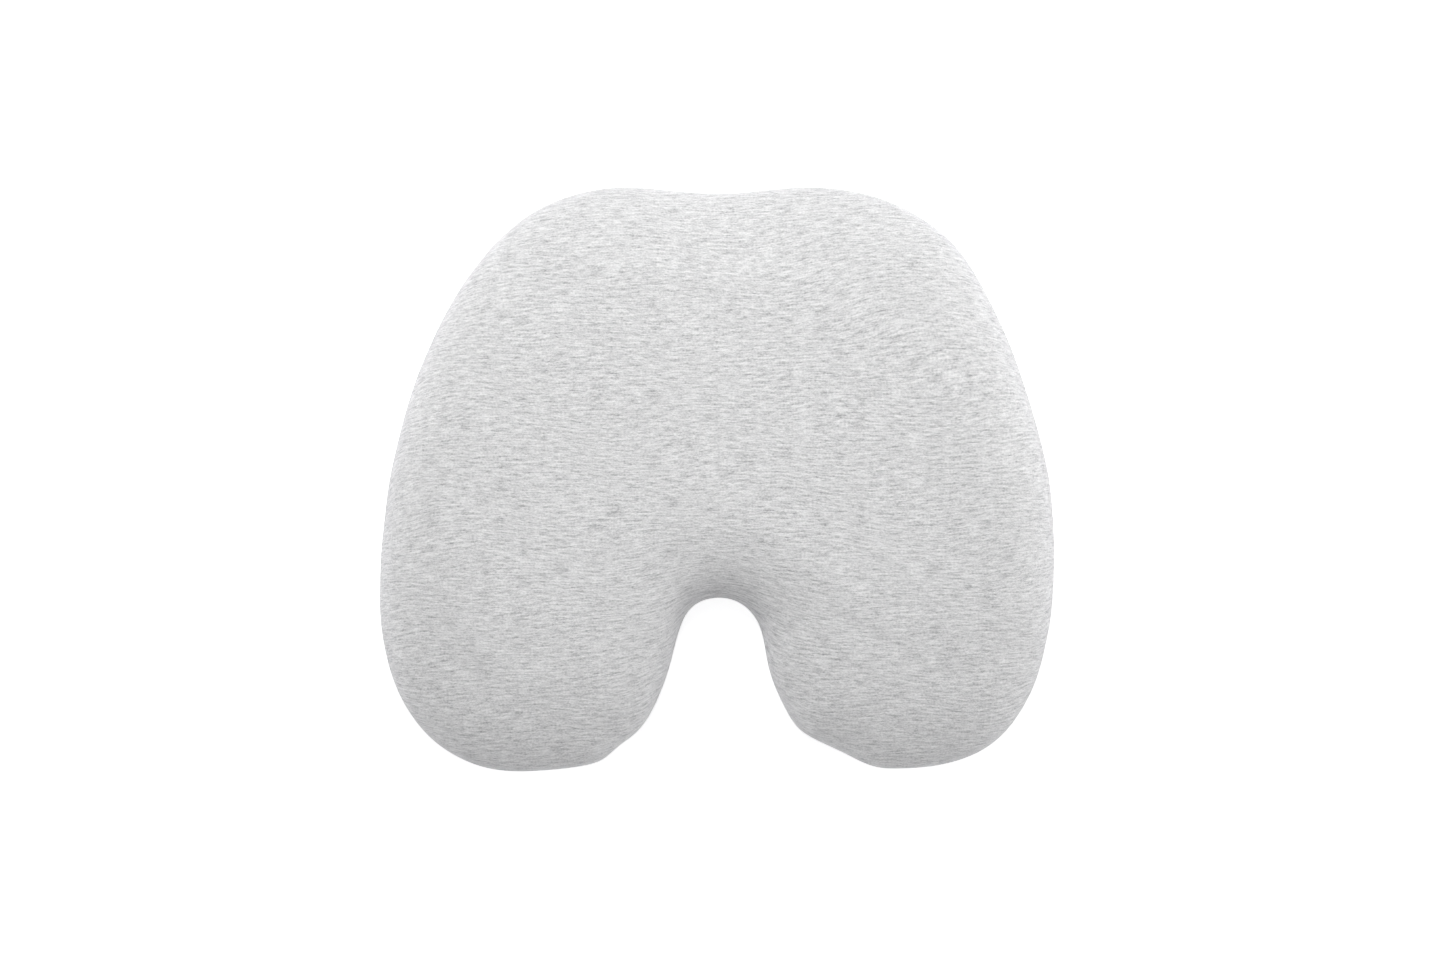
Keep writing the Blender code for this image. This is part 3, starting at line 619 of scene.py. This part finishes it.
def grip_cloth():
    """Dark woven polyester that the grip dots are printed on: a plain weave, with a dull sheen."""
    made, tree, shader = new_finish("woven polyester base cloth", Roughness=0.82, Sheen_Weight=0.12)
    turn = BASE_WEAVE / (2 * math.pi)
    turns = add(tree, SPLIT, {0: fabric_places(tree, turn, turn)})
    warp = add(tree, MATH, {0: turns.outputs[0]}, operation="SINE")
    weft = add(tree, MATH, {0: turns.outputs[1]}, operation="SINE")
    weave = add(tree, MATH, {0: warp, 1: weft}, operation="MULTIPLY")
    inputs = {"Vector": fabric_places(tree, 0.012, 0.0012), "Scale": 1.0, "Detail": 3.0, "Roughness": 0.6}
    slubs = add(tree, NOISE, inputs, noise_dimensions="2D")
    shade = add(tree, MATH, {0: weave, 1: 0.12, 2: slubs}, operation="MULTIPLY_ADD")
    colour = add(tree, RAMP, {0: shade}, stops=((0.30, "#2A2B2E"), (0.52, "#3A3B3F"), (0.75, "#4C4D52")))
    relief = add(tree, BUMP, {"Height": weave, "Distance": 0.00015, "Strength": 0.7})
    wire(tree, shader, {"Base Color": colour, "Normal": relief})
    return made


def silicone():
    """Printed silicone rubber: smooth, slightly glossy dots that have picked up a little lint."""
    made, tree, shader = new_finish("printed silicone rubber", Roughness=0.38, Specular_IOR_Level=0.45)
    inputs = {"Vector": solid_places(tree, 0.0011), "Scale": 1.0, "Detail": 3.0, "Roughness": 0.7}
    lint = add(tree, NOISE, inputs)
    colour = add(tree, RAMP, {0: lint}, stops=((0.45, "#1B1C1E"), (0.80, "#3A3B3D")))
    wire(tree, shader, {"Base Color": colour})
    return made


def warp_knit_liner():
    """Thin white tricot: fine upright ribs, matt."""
    made, tree, shader = new_finish("white tricot liner", Roughness=0.85, Sheen_Weight=0.1)
    axes = add(tree, SPLIT, {0: fabric_places(tree, 0.0012, 0.0012)})
    rib = add(tree, MATH, {0: axes, 1: 0.5}, operation="PINGPONG")
    colour = add(tree, RAMP, {0: rib}, stops=((0.0, "#DEDEDC"), (0.5, "#F1F1EF")))
    relief = add(tree, BUMP, {"Height": rib, "Distance": 0.0002, "Strength": 0.6})
    wire(tree, shader, {"Base Color": colour, "Normal": relief})
    return made


def moulded_foam():
    """Slow-recovery polyurethane foam with a moulded skin: cream, dull, pitted with fine cells."""
    made, tree, shader = new_finish("moulded memory foam", Roughness=0.95, Specular_IOR_Level=0.1)
    cells = add(tree, "ShaderNodeTexVoronoi", {"Vector": solid_places(tree, 0.0014), "Scale": 1.0})
    tone = add(tree, NOISE, {"Vector": solid_places(tree, 0.045), "Scale": 1.0, "Detail": 3.0})
    colour = add(tree, RAMP, {0: tone}, stops=((0.3, "#DFD5B8"), (0.7, "#EEE7D0")))
    relief = add(tree, BUMP, {"Height": cells, "Distance": 0.0004, "Strength": 0.5})
    wire(tree, shader, {"Base Color": colour, "Normal": relief})
    return made


def woven_tape():
    """Herringbone-woven polyester zip tape, dyed to the base cloth."""
    made, tree, shader = new_finish("woven polyester zip tape", Roughness=0.80, Sheen_Weight=0.1)
    axes = add(tree, SPLIT, {0: solid_places(tree, 0.0016)})
    fold = add(tree, MATH, {0: axes.outputs[1], 1: 0.5}, operation="PINGPONG")
    run = add(tree, MATH, {0: axes.outputs[0], 1: 1.6, 2: fold}, operation="MULTIPLY_ADD")
    twill = add(tree, MATH, {0: run, 1: 0.5}, operation="PINGPONG")
    colour = add(tree, RAMP, {0: twill}, stops=((0.05, "#27282B"), (0.45, "#404146")))
    relief = add(tree, BUMP, {"Height": twill, "Distance": 0.0002, "Strength": 0.8})
    wire(tree, shader, {"Base Color": colour, "Normal": relief})
    return made


def nylon():
    """Dyed nylon monofilament: smooth and a little glossy."""
    made, tree, shader = new_finish("dyed nylon filament", Roughness=0.34, Specular_IOR_Level=0.5)
    tone = add(tree, NOISE, {"Vector": solid_places(tree, 0.0025), "Scale": 1.0})
    colour = add(tree, RAMP, {0: tone}, stops=((0.3, "#202124"), (0.7, "#2E2F33")))
    wire(tree, shader, {"Base Color": colour})
    return made


def gunmetal():
    """Gunmetal-plated zinc casting: satin, with tumbled edges and faint handling marks."""
    made, tree, shader = new_finish("gunmetal-plated zinc", Metallic=1.0)
    inputs = {"Vector": solid_places(tree, 0.0015), "Scale": 1.0, "Detail": 4.0, "Roughness": 0.65}
    marks = add(tree, NOISE, inputs)
    broad = add(tree, NOISE, {"Vector": solid_places(tree, 0.011), "Scale": 1.0})
    worn = add(tree, MATH, {0: broad, 1: 0.35}, operation="MULTIPLY")
    roughness = add(tree, MATH, {0: marks, 1: 0.22, 2: worn}, operation="MULTIPLY_ADD")
    colour = add(tree, RAMP, {0: broad}, stops=((0.3, "#6A6B70"), (0.7, "#86878B")))
    relief = add(tree, BUMP, {"Height": marks, "Distance": 0.00004, "Strength": 0.4})
    wire(tree, shader, {"Base Color": colour, "Roughness": roughness, "Normal": relief})
    return made


def satin_ribbon():
    """Blank satin care-label ribbon: white, with a soft sheen along its weft."""
    made, tree, shader = new_finish("white satin ribbon", Roughness=0.45, Anisotropic=0.4)
    inputs = {"Vector": solid_places(tree, 0.0012), "Scale": 0.3, "Distortion": 0.6}
    lines = add(tree, "ShaderNodeTexWave", inputs).outputs[1]
    colour = add(tree, RAMP, {0: lines}, stops=((0.2, "#E6E6E4"), (0.8, "#F3F3F1")))
    relief = add(tree, BUMP, {"Height": lines, "Distance": 0.0001, "Strength": 0.5})
    wire(tree, shader, {"Base Color": colour, "Normal": relief})
    return made


def sewing_thread():
    """Twisted polyester thread: two plies that show as slanted light and dark bands."""
    made, tree, shader = new_finish("dark sewing thread", Roughness=0.6, Sheen_Weight=0.15)
    inputs = {"Vector": solid_places(tree, 0.0006), "Scale": 0.3, "Distortion": 1.0}
    plies = add(tree, "ShaderNodeTexWave", inputs, bands_direction="DIAGONAL").outputs[1]
    colour = add(tree, RAMP, {0: plies}, stops=((0.2, "#2C2D30"), (0.8, "#54555A")))
    wire(tree, shader, {"Base Color": colour})
    return made


JERSEY = heather_jersey()
GRIP_CLOTH = grip_cloth()
SILICONE = silicone()
LINER_CLOTH = warp_knit_liner()
FOAM = moulded_foam()
TAPE_CLOTH = woven_tape()
NYLON = nylon()
METAL = gunmetal()
RIBBON = satin_ribbon()
DARK_THREAD = sewing_thread()


# ---------------------------------------------------------------- soft pieces

# How deep the liner lies under the knit and under the base, and over what distance from the seam the one
# becomes the other. Over the first reach from the seam, the base rises to leave room for its dots.
LINER_DEPTH = 0.0040
BASE_LAYER_DEPTH = GRIP_DOT_HEIGHT + GRIP + LAYER_GAP
LAYER_BLEND = 0.012
DOT_ROOM_REACH = 0.010
SEAM_WELD = 0.002

# The region that cuts the base in two at the zip.
CUT_REACH, CUT_LOW, CUT_HIGH = 1.0, -0.05, 0.10
HEM_CORNER = math.radians(42)


def dress(obj, finish, slot, *nodes, body="cushion"):
    """Gives a piece its finish and body, and lets it stand for CAD nodes. The slot is not used."""
    obj.data.materials.clear()
    obj.data.materials.append(finish)
    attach(obj, body)
    if nodes:
        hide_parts(*nodes)
    return obj


def rolled_to_seam(points, normals, distance):
    """The fabric's points, rolled inwards where they come near the seam."""
    depth = SEAM_ROLL_DEPTH * np.exp(-((distance / SEAM_ROLL_WIDTH) ** 2))
    return points - normals * depth[:, None]


def knit_cover(skin):
    """The jersey shell, drawn tight over the foam from the seam up."""
    points, faces, fabric, distance = skin.upper()
    normals = normals_of(points, faces)
    obj = mesh_object("knit_cover", points - normals * SLACK_DEPTH, faces, pulled_courses(fabric))
    points = drawn_tight(obj, normals, np.flatnonzero(distance < HELD_STRIP))
    normals = normals_of(points, faces)
    relief = sum(height * waves(points, size, seed) for height, size, seed in RELIEF)
    relief = relief * smooth_step(distance / RELIEF_START)
    fullness = FULLNESS * smooth_step(distance / FULLNESS_START)
    points = points + normals * (relief + fullness)[:, None]
    set_coordinates(obj, rolled_to_seam(points, normals, distance))
    modify(obj, "SUBSURF", levels=1, render_levels=1, use_limit_surface=False)
    modify(obj, "SOLIDIFY", thickness=KNIT, offset=-1.0)
    dress(apply_modifiers(obj), JERSEY, "heather_knit", "cover_upper")


def prism(outline, low, high):
    """A closed prism over a plan outline, for cutting."""
    bm = bmesh.new()
    face = bm.faces.new([bm.verts.new((x, y, low)) for x, y in outline])
    made = bmesh.ops.extrude_face_region(bm, geom=[face])
    top = [v for v in made["geom"] if isinstance(v, bmesh.types.BMVert)]
    bmesh.ops.translate(bm, verts=top, vec=(0, 0, high - low))
    bmesh.ops.recalc_face_normals(bm, faces=bm.faces)
    mesh = bpy.data.meshes.new("cutting_region")
    bm.to_mesh(mesh)
    bm.free()
    return linked("cutting_region", mesh)


def slot_side(side):
    """Plan outline of all that lies on one side of the zip, with the slot left open."""
    far, narrow = CUT_REACH, STOP_X + SLOT_TAPER
    edge = [(-far, SEAM_GAP / 2), (-narrow, SEAM_GAP / 2), (-STOP_X, SLOT_HALF_WIDTH)]
    edge += [(STOP_X, SLOT_HALF_WIDTH), (narrow, SEAM_GAP / 2), (far, SEAM_GAP / 2), (far, far), (-far, far)]
    return [(x, ZIP_Y + side * v) for x, v in edge]


def base_sheet(skin):
    """(points, faces, fabric places, distance from the seam) of the base cloth's lower face."""
    points, faces, fabric, distance = skin.base()
    normals = normals_of(points, faces)
    rise = recess_rise(points) * HEM_RISE
    points = rolled_to_seam(points, normals, distance)
    points = points - normals * (GRIP_DOT_HEIGHT * smooth_step(distance / DOT_ROOM_REACH))[:, None]
    points[:, 2] += rise
    return points, faces, fabric, distance


def grip_panels(skin):
    """The two base panels, one on each side of the zip."""
    points, faces, fabric, _ = base_sheet(skin)
    for name, side in (("grip_panel_front", 1), ("grip_panel_rear", -1)):
        obj = mesh_object(name, points, faces, fabric)
        modify(obj, "SOLIDIFY", thickness=GRIP, offset=-1.0)
        region = prism(slot_side(side), CUT_LOW, CUT_HIGH)
        modify(obj, "BOOLEAN", operation="INTERSECT", object=region)
        apply_modifiers(obj)
        bpy.data.objects.remove(region)
        obj.data.shade_smooth()
        obj.data.set_sharp_from_angle(angle=HEM_CORNER)
        dress(obj, GRIP_CLOTH, "grip_fabric", name.replace("grip", "base"))


def inner_layer(sheet, upper_depth, base_depth, rise):
    """A sheet moved inwards to a layer, and clear of the slider: base_depth below the cover's outer face, and
    away from the seam upper_depth, where that isn't 0."""
    points, faces, fabric, distance = sheet
    normals = normals_of(points, faces)
    lift = recess_rise(points) * rise
    blend = smooth_step(distance / LAYER_BLEND)
    depth = base_depth + (upper_depth - base_depth) * blend if upper_depth else base_depth
    points = points - normals * np.broadcast_to(depth, len(points))[:, None]
    points[:, 2] += lift
    return points, faces, fabric


def liner_and_foam(skin):
    """The white liner in two sheets, and the foam block inside it."""
    slider_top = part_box("zip_slider")[1].z
    channel = slider_top + LAYER_GAP - BASE_LAYER_DEPTH
    upper, base = skin.upper(), skin.base()
    for name, sheet, depth in (("liner_upper", upper, LINER_DEPTH), ("liner_base", base, 0.0)):
        points, faces, fabric = inner_layer(sheet, depth, BASE_LAYER_DEPTH, channel)
        obj = mesh_object("tricot_" + name, points, faces, fabric)
        modify(obj, "SOLIDIFY", thickness=LINER, offset=-1.0)
        dress(apply_modifiers(obj), LINER_CLOTH, "liner_tricot", name)
    gap = LINER + LAYER_GAP
    top = inner_layer(upper, LINER_DEPTH + gap, BASE_LAYER_DEPTH + gap, channel)
    bottom = inner_layer(base, 0.0, BASE_LAYER_DEPTH + gap, channel)
    shift = len(top[0])
    points = np.concatenate([top[0], bottom[0]])
    faces = list(top[1]) + [tuple(i + shift for i in face) for face in bottom[1]]
    obj = mesh_object("foam_block", points, faces)
    bm = bmesh.new()
    bm.from_mesh(obj.data)
    seam = [v for v in bm.verts if v.index < skin.count or shift <= v.index < shift + skin.count]
    bmesh.ops.remove_doubles(bm, verts=seam, dist=SEAM_WELD)
    bmesh.ops.recalc_face_normals(bm, faces=bm.faces)
    bm.to_mesh(obj.data)
    bm.free()
    obj.data.shade_smooth()
    dress(obj, FOAM, "memory_foam", "foam_core")


# ---------------------------------------------------------------- repeated details, as Geometry Nodes trees

TRANSFORM, ON_POINTS = "GeometryNodeTransform", "GeometryNodeInstanceOnPoints"
RESAMPLE, BALL = "GeometryNodeResampleCurve", "GeometryNodeMeshUVSphere"
CIRCLE = "GeometryNodeCurvePrimitiveCircle"


def new_tree(name, sizes):
    """A Geometry Nodes tree with a geometry input, the named sizes as inputs, and a geometry output."""
    tree = bpy.data.node_groups.new(name, "GeometryNodeTree")
    tree.interface.new_socket("Geometry", in_out="INPUT", socket_type="NodeSocketGeometry")
    for size in sizes:
        tree.interface.new_socket(size, in_out="INPUT", socket_type="NodeSocketFloat")
    tree.interface.new_socket("Geometry", in_out="OUTPUT", socket_type="NodeSocketGeometry")
    return tree, add(tree, "NodeGroupInput")


def end_tree(tree, points, piece, finish, **inputs):
    """Sets a copy of the piece on each point, and gives the real mesh of them all its finish."""
    copies = add(tree, ON_POINTS, {"Points": points, "Instance": piece, **inputs})
    real = add(tree, "GeometryNodeRealizeInstances", {0: copies})
    smooth = add(tree, "GeometryNodeSetShadeSmooth", {0: real})
    painted = add(tree, "GeometryNodeSetMaterial", {0: smooth, "Material": finish})
    add(tree, "NodeGroupOutput", {0: painted})
    return tree


def grown(name, source, tree, sizes):
    """The plain mesh that a tree makes from a source object, which is then removed."""
    modifier = source.modifiers.new(name, "NODES")
    modifier.node_group = tree
    for item in tree.interface.items_tree:
        if item.in_out == "INPUT" and item.name in sizes:
            modifier[item.identifier] = sizes[item.name]
    graph = bpy.context.evaluated_depsgraph_get()
    mesh = bpy.data.meshes.new_from_object(source.evaluated_get(graph))
    bpy.data.objects.remove(source)
    return linked(name, mesh)


def path_object(*rows, closed=False):
    """Poly curves through rows of points, for a tree to follow."""
    curve = bpy.data.curves.new("path", "CURVE")
    curve.dimensions = "3D"
    for row in rows:
        spline = curve.splines.new("POLY")
        spline.points.add(len(row) - 1)
        for place, point in zip(spline.points, row):
            place.co = (*point, 1.0)
        spline.use_cyclic_u = closed
    return linked("path", curve)


def points_object(points):
    """Loose points, for a tree to set pieces on."""
    mesh = bpy.data.meshes.new("places")
    mesh.from_pydata([tuple(p) for p in points], [], [])
    return linked("places", mesh)


def stitch_tree(finish):
    """Lockstitches along a path: one small thread loop each pitch."""
    tree, inlet = new_tree("lockstitch row", ("Stitch pitch", "Stitch length", "Thread radius"))
    geometry, pitch, length, radius = inlet.outputs[:4]
    path = add(tree, RESAMPLE, {"Curve": geometry, "Length": pitch}, mode="LENGTH")
    ball = add(tree, BALL, {"Segments": 8, "Rings": 6, "Radius": 0.5})
    width = add(tree, MATH, {0: radius, 1: 2.0}, operation="MULTIPLY")
    scale = add(tree, COMBINE, {0: length, 1: width, 2: width})
    stitch = add(tree, TRANSFORM, {"Geometry": ball, "Scale": scale})
    tangent = add(tree, "GeometryNodeInputTangent")
    turn = add(tree, "FunctionNodeAlignRotationToVector", {"Vector": tangent}, axis="X")
    return end_tree(tree, path, stitch, finish, Rotation=turn)


def dot_tree(finish):
    """Domed grip dots at given places."""
    tree, inlet = new_tree("grip dots", ("Dot radius", "Dot height"))
    geometry, radius, height = inlet.outputs[:3]
    ball = add(tree, BALL, {"Segments": 12, "Rings": 6, "Radius": 1.0})
    scale = add(tree, COMBINE, {0: radius, 1: radius, 2: height})
    dot = add(tree, TRANSFORM, {"Geometry": ball, "Scale": scale})
    return end_tree(tree, geometry, dot, finish)


COIL_LEAN = 0.14


def coil_tree(finish):
    """One side of a coil zip: a flattened nylon loop each pitch, leaning along the chain."""
    sizes = ("Loop pitch", "Loop half width", "Loop half height", "Filament radius")
    tree, inlet = new_tree("zip coil", sizes)
    geometry, pitch, half_width, half_height, radius = inlet.outputs[:5]
    path = add(tree, RESAMPLE, {"Curve": geometry, "Length": pitch}, mode="LENGTH")
    circle = add(tree, CIRCLE, {"Resolution": 12, "Radius": 1.0})
    turned = add(tree, TRANSFORM, {"Geometry": circle, "Rotation": (0, math.pi / 2, 0)})
    scale = add(tree, COMBINE, {0: 1.0, 1: half_width, 2: half_height})
    oval = add(tree, TRANSFORM, {"Geometry": turned, "Scale": scale})
    lean = add(tree, TRANSFORM, {"Geometry": oval, "Rotation": (0.0, 0.0, COIL_LEAN)})
    section = add(tree, CIRCLE, {"Resolution": 6, "Radius": radius})
    loop = add(tree, "GeometryNodeCurveToMesh", {"Curve": lean, "Profile Curve": section})
    return end_tree(tree, path, loop, finish)


# ---------------------------------------------------------------- grip dots and seams

DOT_PITCH = 0.0100
DOT_RADIUS = 0.0017
DOT_MARGIN = 0.006
DOT_END_GAP = 0.004
STITCH_PITCH, STITCH_LENGTH, THREAD_RADIUS = 0.0031, 0.0026, 0.00032
SEAM_STITCH_RING = 3
ZIP_STITCH_INSETS = (0.0014, 0.0036)


def grip_dots(skin):
    """Silicone dots printed over the flat of the base, clear of the zip's recess."""
    flat = skin.under(0.0)[:, :2] + skin.inward * DOT_MARGIN
    places = hex_points(flat, DOT_PITCH)
    beside = np.abs(places[:, 1] - ZIP_Y) < FOOT_HALF_WIDTH + DOT_RADIUS
    along = np.abs(places[:, 0]) < RECESS_X + DOT_END_GAP
    places = places[~(beside & along)]
    tree = dot_tree(SILICONE)
    sizes = {"Dot radius": DOT_RADIUS, "Dot height": GRIP_DOT_HEIGHT}
    for name, side in (("grip_dots_front", 1), ("grip_dots_rear", -1)):
        chosen = places[(places[:, 1] - ZIP_Y) * side > 0]
        spots = np.column_stack([chosen, np.full(len(chosen), GRIP_DOT_HEIGHT)])
        obj = grown(name, points_object(spots), tree, sizes)
        dress(obj, SILICONE, "grip_fabric")


def stitch_rows(skin):
    """Top stitching: one row on the base cloth all round the seam, and two on each side of the zip."""
    tree = stitch_tree(DARK_THREAD)
    sizes = {"Stitch pitch": STITCH_PITCH, "Stitch length": STITCH_LENGTH, "Thread radius": THREAD_RADIUS}
    points, _, _, _ = base_sheet(skin)
    row = points[SEAM_STITCH_RING * skin.count : (SEAM_STITCH_RING + 1) * skin.count]
    obj = grown("seam_stitching", path_object(row, closed=True), tree, sizes)
    dress(obj, DARK_THREAD, "grip_fabric")
    under = GRIP_DOT_HEIGHT + HEM_RISE
    for name, side in (("zip_stitching_front", 1), ("zip_stitching_rear", -1)):
        places = [ZIP_Y + side * (SLOT_HALF_WIDTH + inset) for inset in ZIP_STITCH_INSETS]
        path = path_object(*[[(-STOP_X, y, under), (STOP_X, y, under)] for y in places])
        dress(grown(name, path, tree, sizes), DARK_THREAD, "grip_fabric")


# ---------------------------------------------------------------- zip

COIL_PITCH = 0.00145
FILAMENT_RADIUS = 0.00030
LOOP_OVERLAP = 0.00045  # what a loop's half width gains, so that the two halves of the chain mesh

# Edges of the metal pieces: what counts as flat, what is eased, and what stays crisp.
FLAT_ANGLE, EASED_ANGLE, CRISP_ANGLE = math.radians(2), math.radians(35), math.radians(50)


def zip_coils():
    """Both halves of the chain, their loops meshing half a pitch apart."""
    tree = coil_tree(NYLON)
    half_height = (COIL_HIGH.z - COIL_LOW.z) / 2 - FILAMENT_RADIUS
    half_width = (COIL_HIGH.y - COIL_LOW.y) / 2 - FILAMENT_RADIUS + LOOP_OVERLAP
    sizes = {
        "Loop pitch": COIL_PITCH,
        "Loop half width": half_width,
        "Loop half height": half_height,
        "Filament radius": FILAMENT_RADIUS,
    }
    z = (COIL_HIGH.z + COIL_LOW.z) / 2
    for name, side, shift in (("zip_loops_front", 1, 0.0), ("zip_loops_rear", -1, COIL_PITCH / 2)):
        y = ZIP_Y + side * (COIL_HIGH.y - ZIP_Y - FILAMENT_RADIUS - half_width)
        ends = [(-CHAIN_X + FILAMENT_RADIUS * 2 + shift, y, z), (CHAIN_X - COIL_PITCH + shift, y, z)]
        obj = grown(name, path_object(ends), tree, sizes)
        dress(obj, NYLON, "zip_nylon", name.replace("loops", "coil"))


def eased_copy(node, name, ease):
    """A CAD node's shape with its edges eased, as casting and tumbling leave them."""
    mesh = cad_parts[node].data.copy()
    mesh.name = name
    bm = bmesh.new()
    bm.from_mesh(mesh)
    bmesh.ops.remove_doubles(bm, verts=bm.verts, dist=1e-6)
    bmesh.ops.dissolve_limit(bm, angle_limit=FLAT_ANGLE, verts=bm.verts, edges=bm.edges)
    bm.to_mesh(mesh)
    bm.free()
    obj = linked(name, mesh)
    modify(obj, "BEVEL", width=ease, segments=3, limit_method="ANGLE", angle_limit=EASED_ANGLE)
    apply_modifiers(obj)
    obj.data.shade_smooth()
    obj.data.set_sharp_from_angle(angle=CRISP_ANGLE)
    return obj


def zip_hardware():
    """Slider, pull tab and stops, in plated metal."""
    pieces = (
        ("zip_slider", "slider_casting", 0.00022, "slider"),
        ("zip_pull_tab", "pull_tab_plate", 0.00025, "pull_tab"),
        ("zip_bottom_stop", "stop_bottom", 0.00030, "cushion"),
        ("zip_top_stop_front", "stop_top_front", 0.00025, "cushion"),
        ("zip_top_stop_rear", "stop_top_rear", 0.00025, "cushion"),
    )
    for node, name, ease, body in pieces:
        dress(eased_copy(node, name, ease), METAL, "zip_metal", node, body=body)


def finish_frame_nodes():
    """The CAD nodes that stay as they are get their real finishes."""
    finishes = {"zip_tape_front": TAPE_CLOTH, "zip_tape_rear": TAPE_CLOTH, "care_label": RIBBON}
    for node, finish in finishes.items():
        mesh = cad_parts[node].data
        mesh.materials.clear()
        mesh.materials.append(finish)


# ---------------------------------------------------------------- camera, floor and lights

LENS, SENSOR = 85.0, 36.0
NEAR, FAR = 0.05, 50.0
VIEW_WIDTH = 0.980  # how much of the plane of the cushion's waist the picture's width takes in
AIM = (0.0027, -0.0014)


def camera():
    """Straight above the cushion, with its front edge at the top of the picture."""
    data = bpy.data.cameras.new("camera")
    data.lens, data.sensor_width = LENS, SENSOR
    data.clip_start, data.clip_end = NEAR, FAR
    obj = linked("camera", data)
    height = VIEW_WIDTH / 2 / (SENSOR / 2 / LENS)
    obj.location = (*AIM, WAIST_Z + height)
    bpy.context.scene.camera = obj


FLOOR_REACH = 6.0
FLOOR_GLOW = 0.78  # the floor is a lit white table, so that hardly any shadow shows on it


def floor():
    """A wide matt white table top, lit from within."""
    white = linear("#F5F5F5")
    glow = {"Emission_Color": white, "Emission_Strength": FLOOR_GLOW}
    made, _, _ = new_finish("matt white table", Base_Color=white, Roughness=0.9, **glow)
    corners = [(FLOOR_REACH * x, FLOOR_REACH * y, 0) for x, y in ((-1, -1), (1, -1), (1, 1), (-1, 1))]
    obj = mesh_object("floor", corners, [(0, 1, 2, 3)])
    obj.data.materials.append(made)


def area_light(name, place, size, power):
    """A round soft light that faces the cushion."""
    data = bpy.data.lights.new(name, "AREA")
    data.shape, data.size, data.energy = "DISK", size, power
    obj = linked(name, data)
    obj.location = place
    obj.rotation_euler = Vector(place).to_track_quat("Z", "Y").to_euler()


LIGHTS = (  # place, size and power
    ("key", (-0.08, 0.55, 1.30), 0.6, 15.2),
    ("right_fill", (1.35, 0.05, 0.50), 0.7, 5.6),
    ("left_fill", (-1.35, 0.05, 0.50), 0.7, 2.4),
)

# The room's tone from the horizon up, by the height of the direction: white walls and a dim ceiling.
ROOM = ((0.0, "#F8F8F8"), (0.20, "#F8F8F8"), (0.42, "#6E6E70"), (1.0, "#6E6E70"))


def lights():
    """A large soft key over the front edge and a fill on either side, in a plain room."""
    for light in LIGHTS:
        area_light(*light)
    world = bpy.data.worlds.new("studio")
    world.use_nodes = True
    tree = world.node_tree
    axes = add(tree, SPLIT, {0: add(tree, "ShaderNodeTexCoord")})
    tone = add(tree, RAMP, {0: axes.outputs[2]}, stops=ROOM)
    wire(tree, tree.nodes["Background"], {"Color": tone, "Strength": 1.0})
    bpy.context.scene.world = world
    bpy.context.scene.view_settings.view_transform = "Standard"


def main():
    camera()
    floor()
    lights()
    fine, coarse = Skin(), Skin(0.6)
    knit_cover(fine)
    grip_panels(fine)
    liner_and_foam(coarse)
    grip_dots(fine)
    stitch_rows(fine)
    zip_coils()
    zip_hardware()
    finish_frame_nodes()


main()
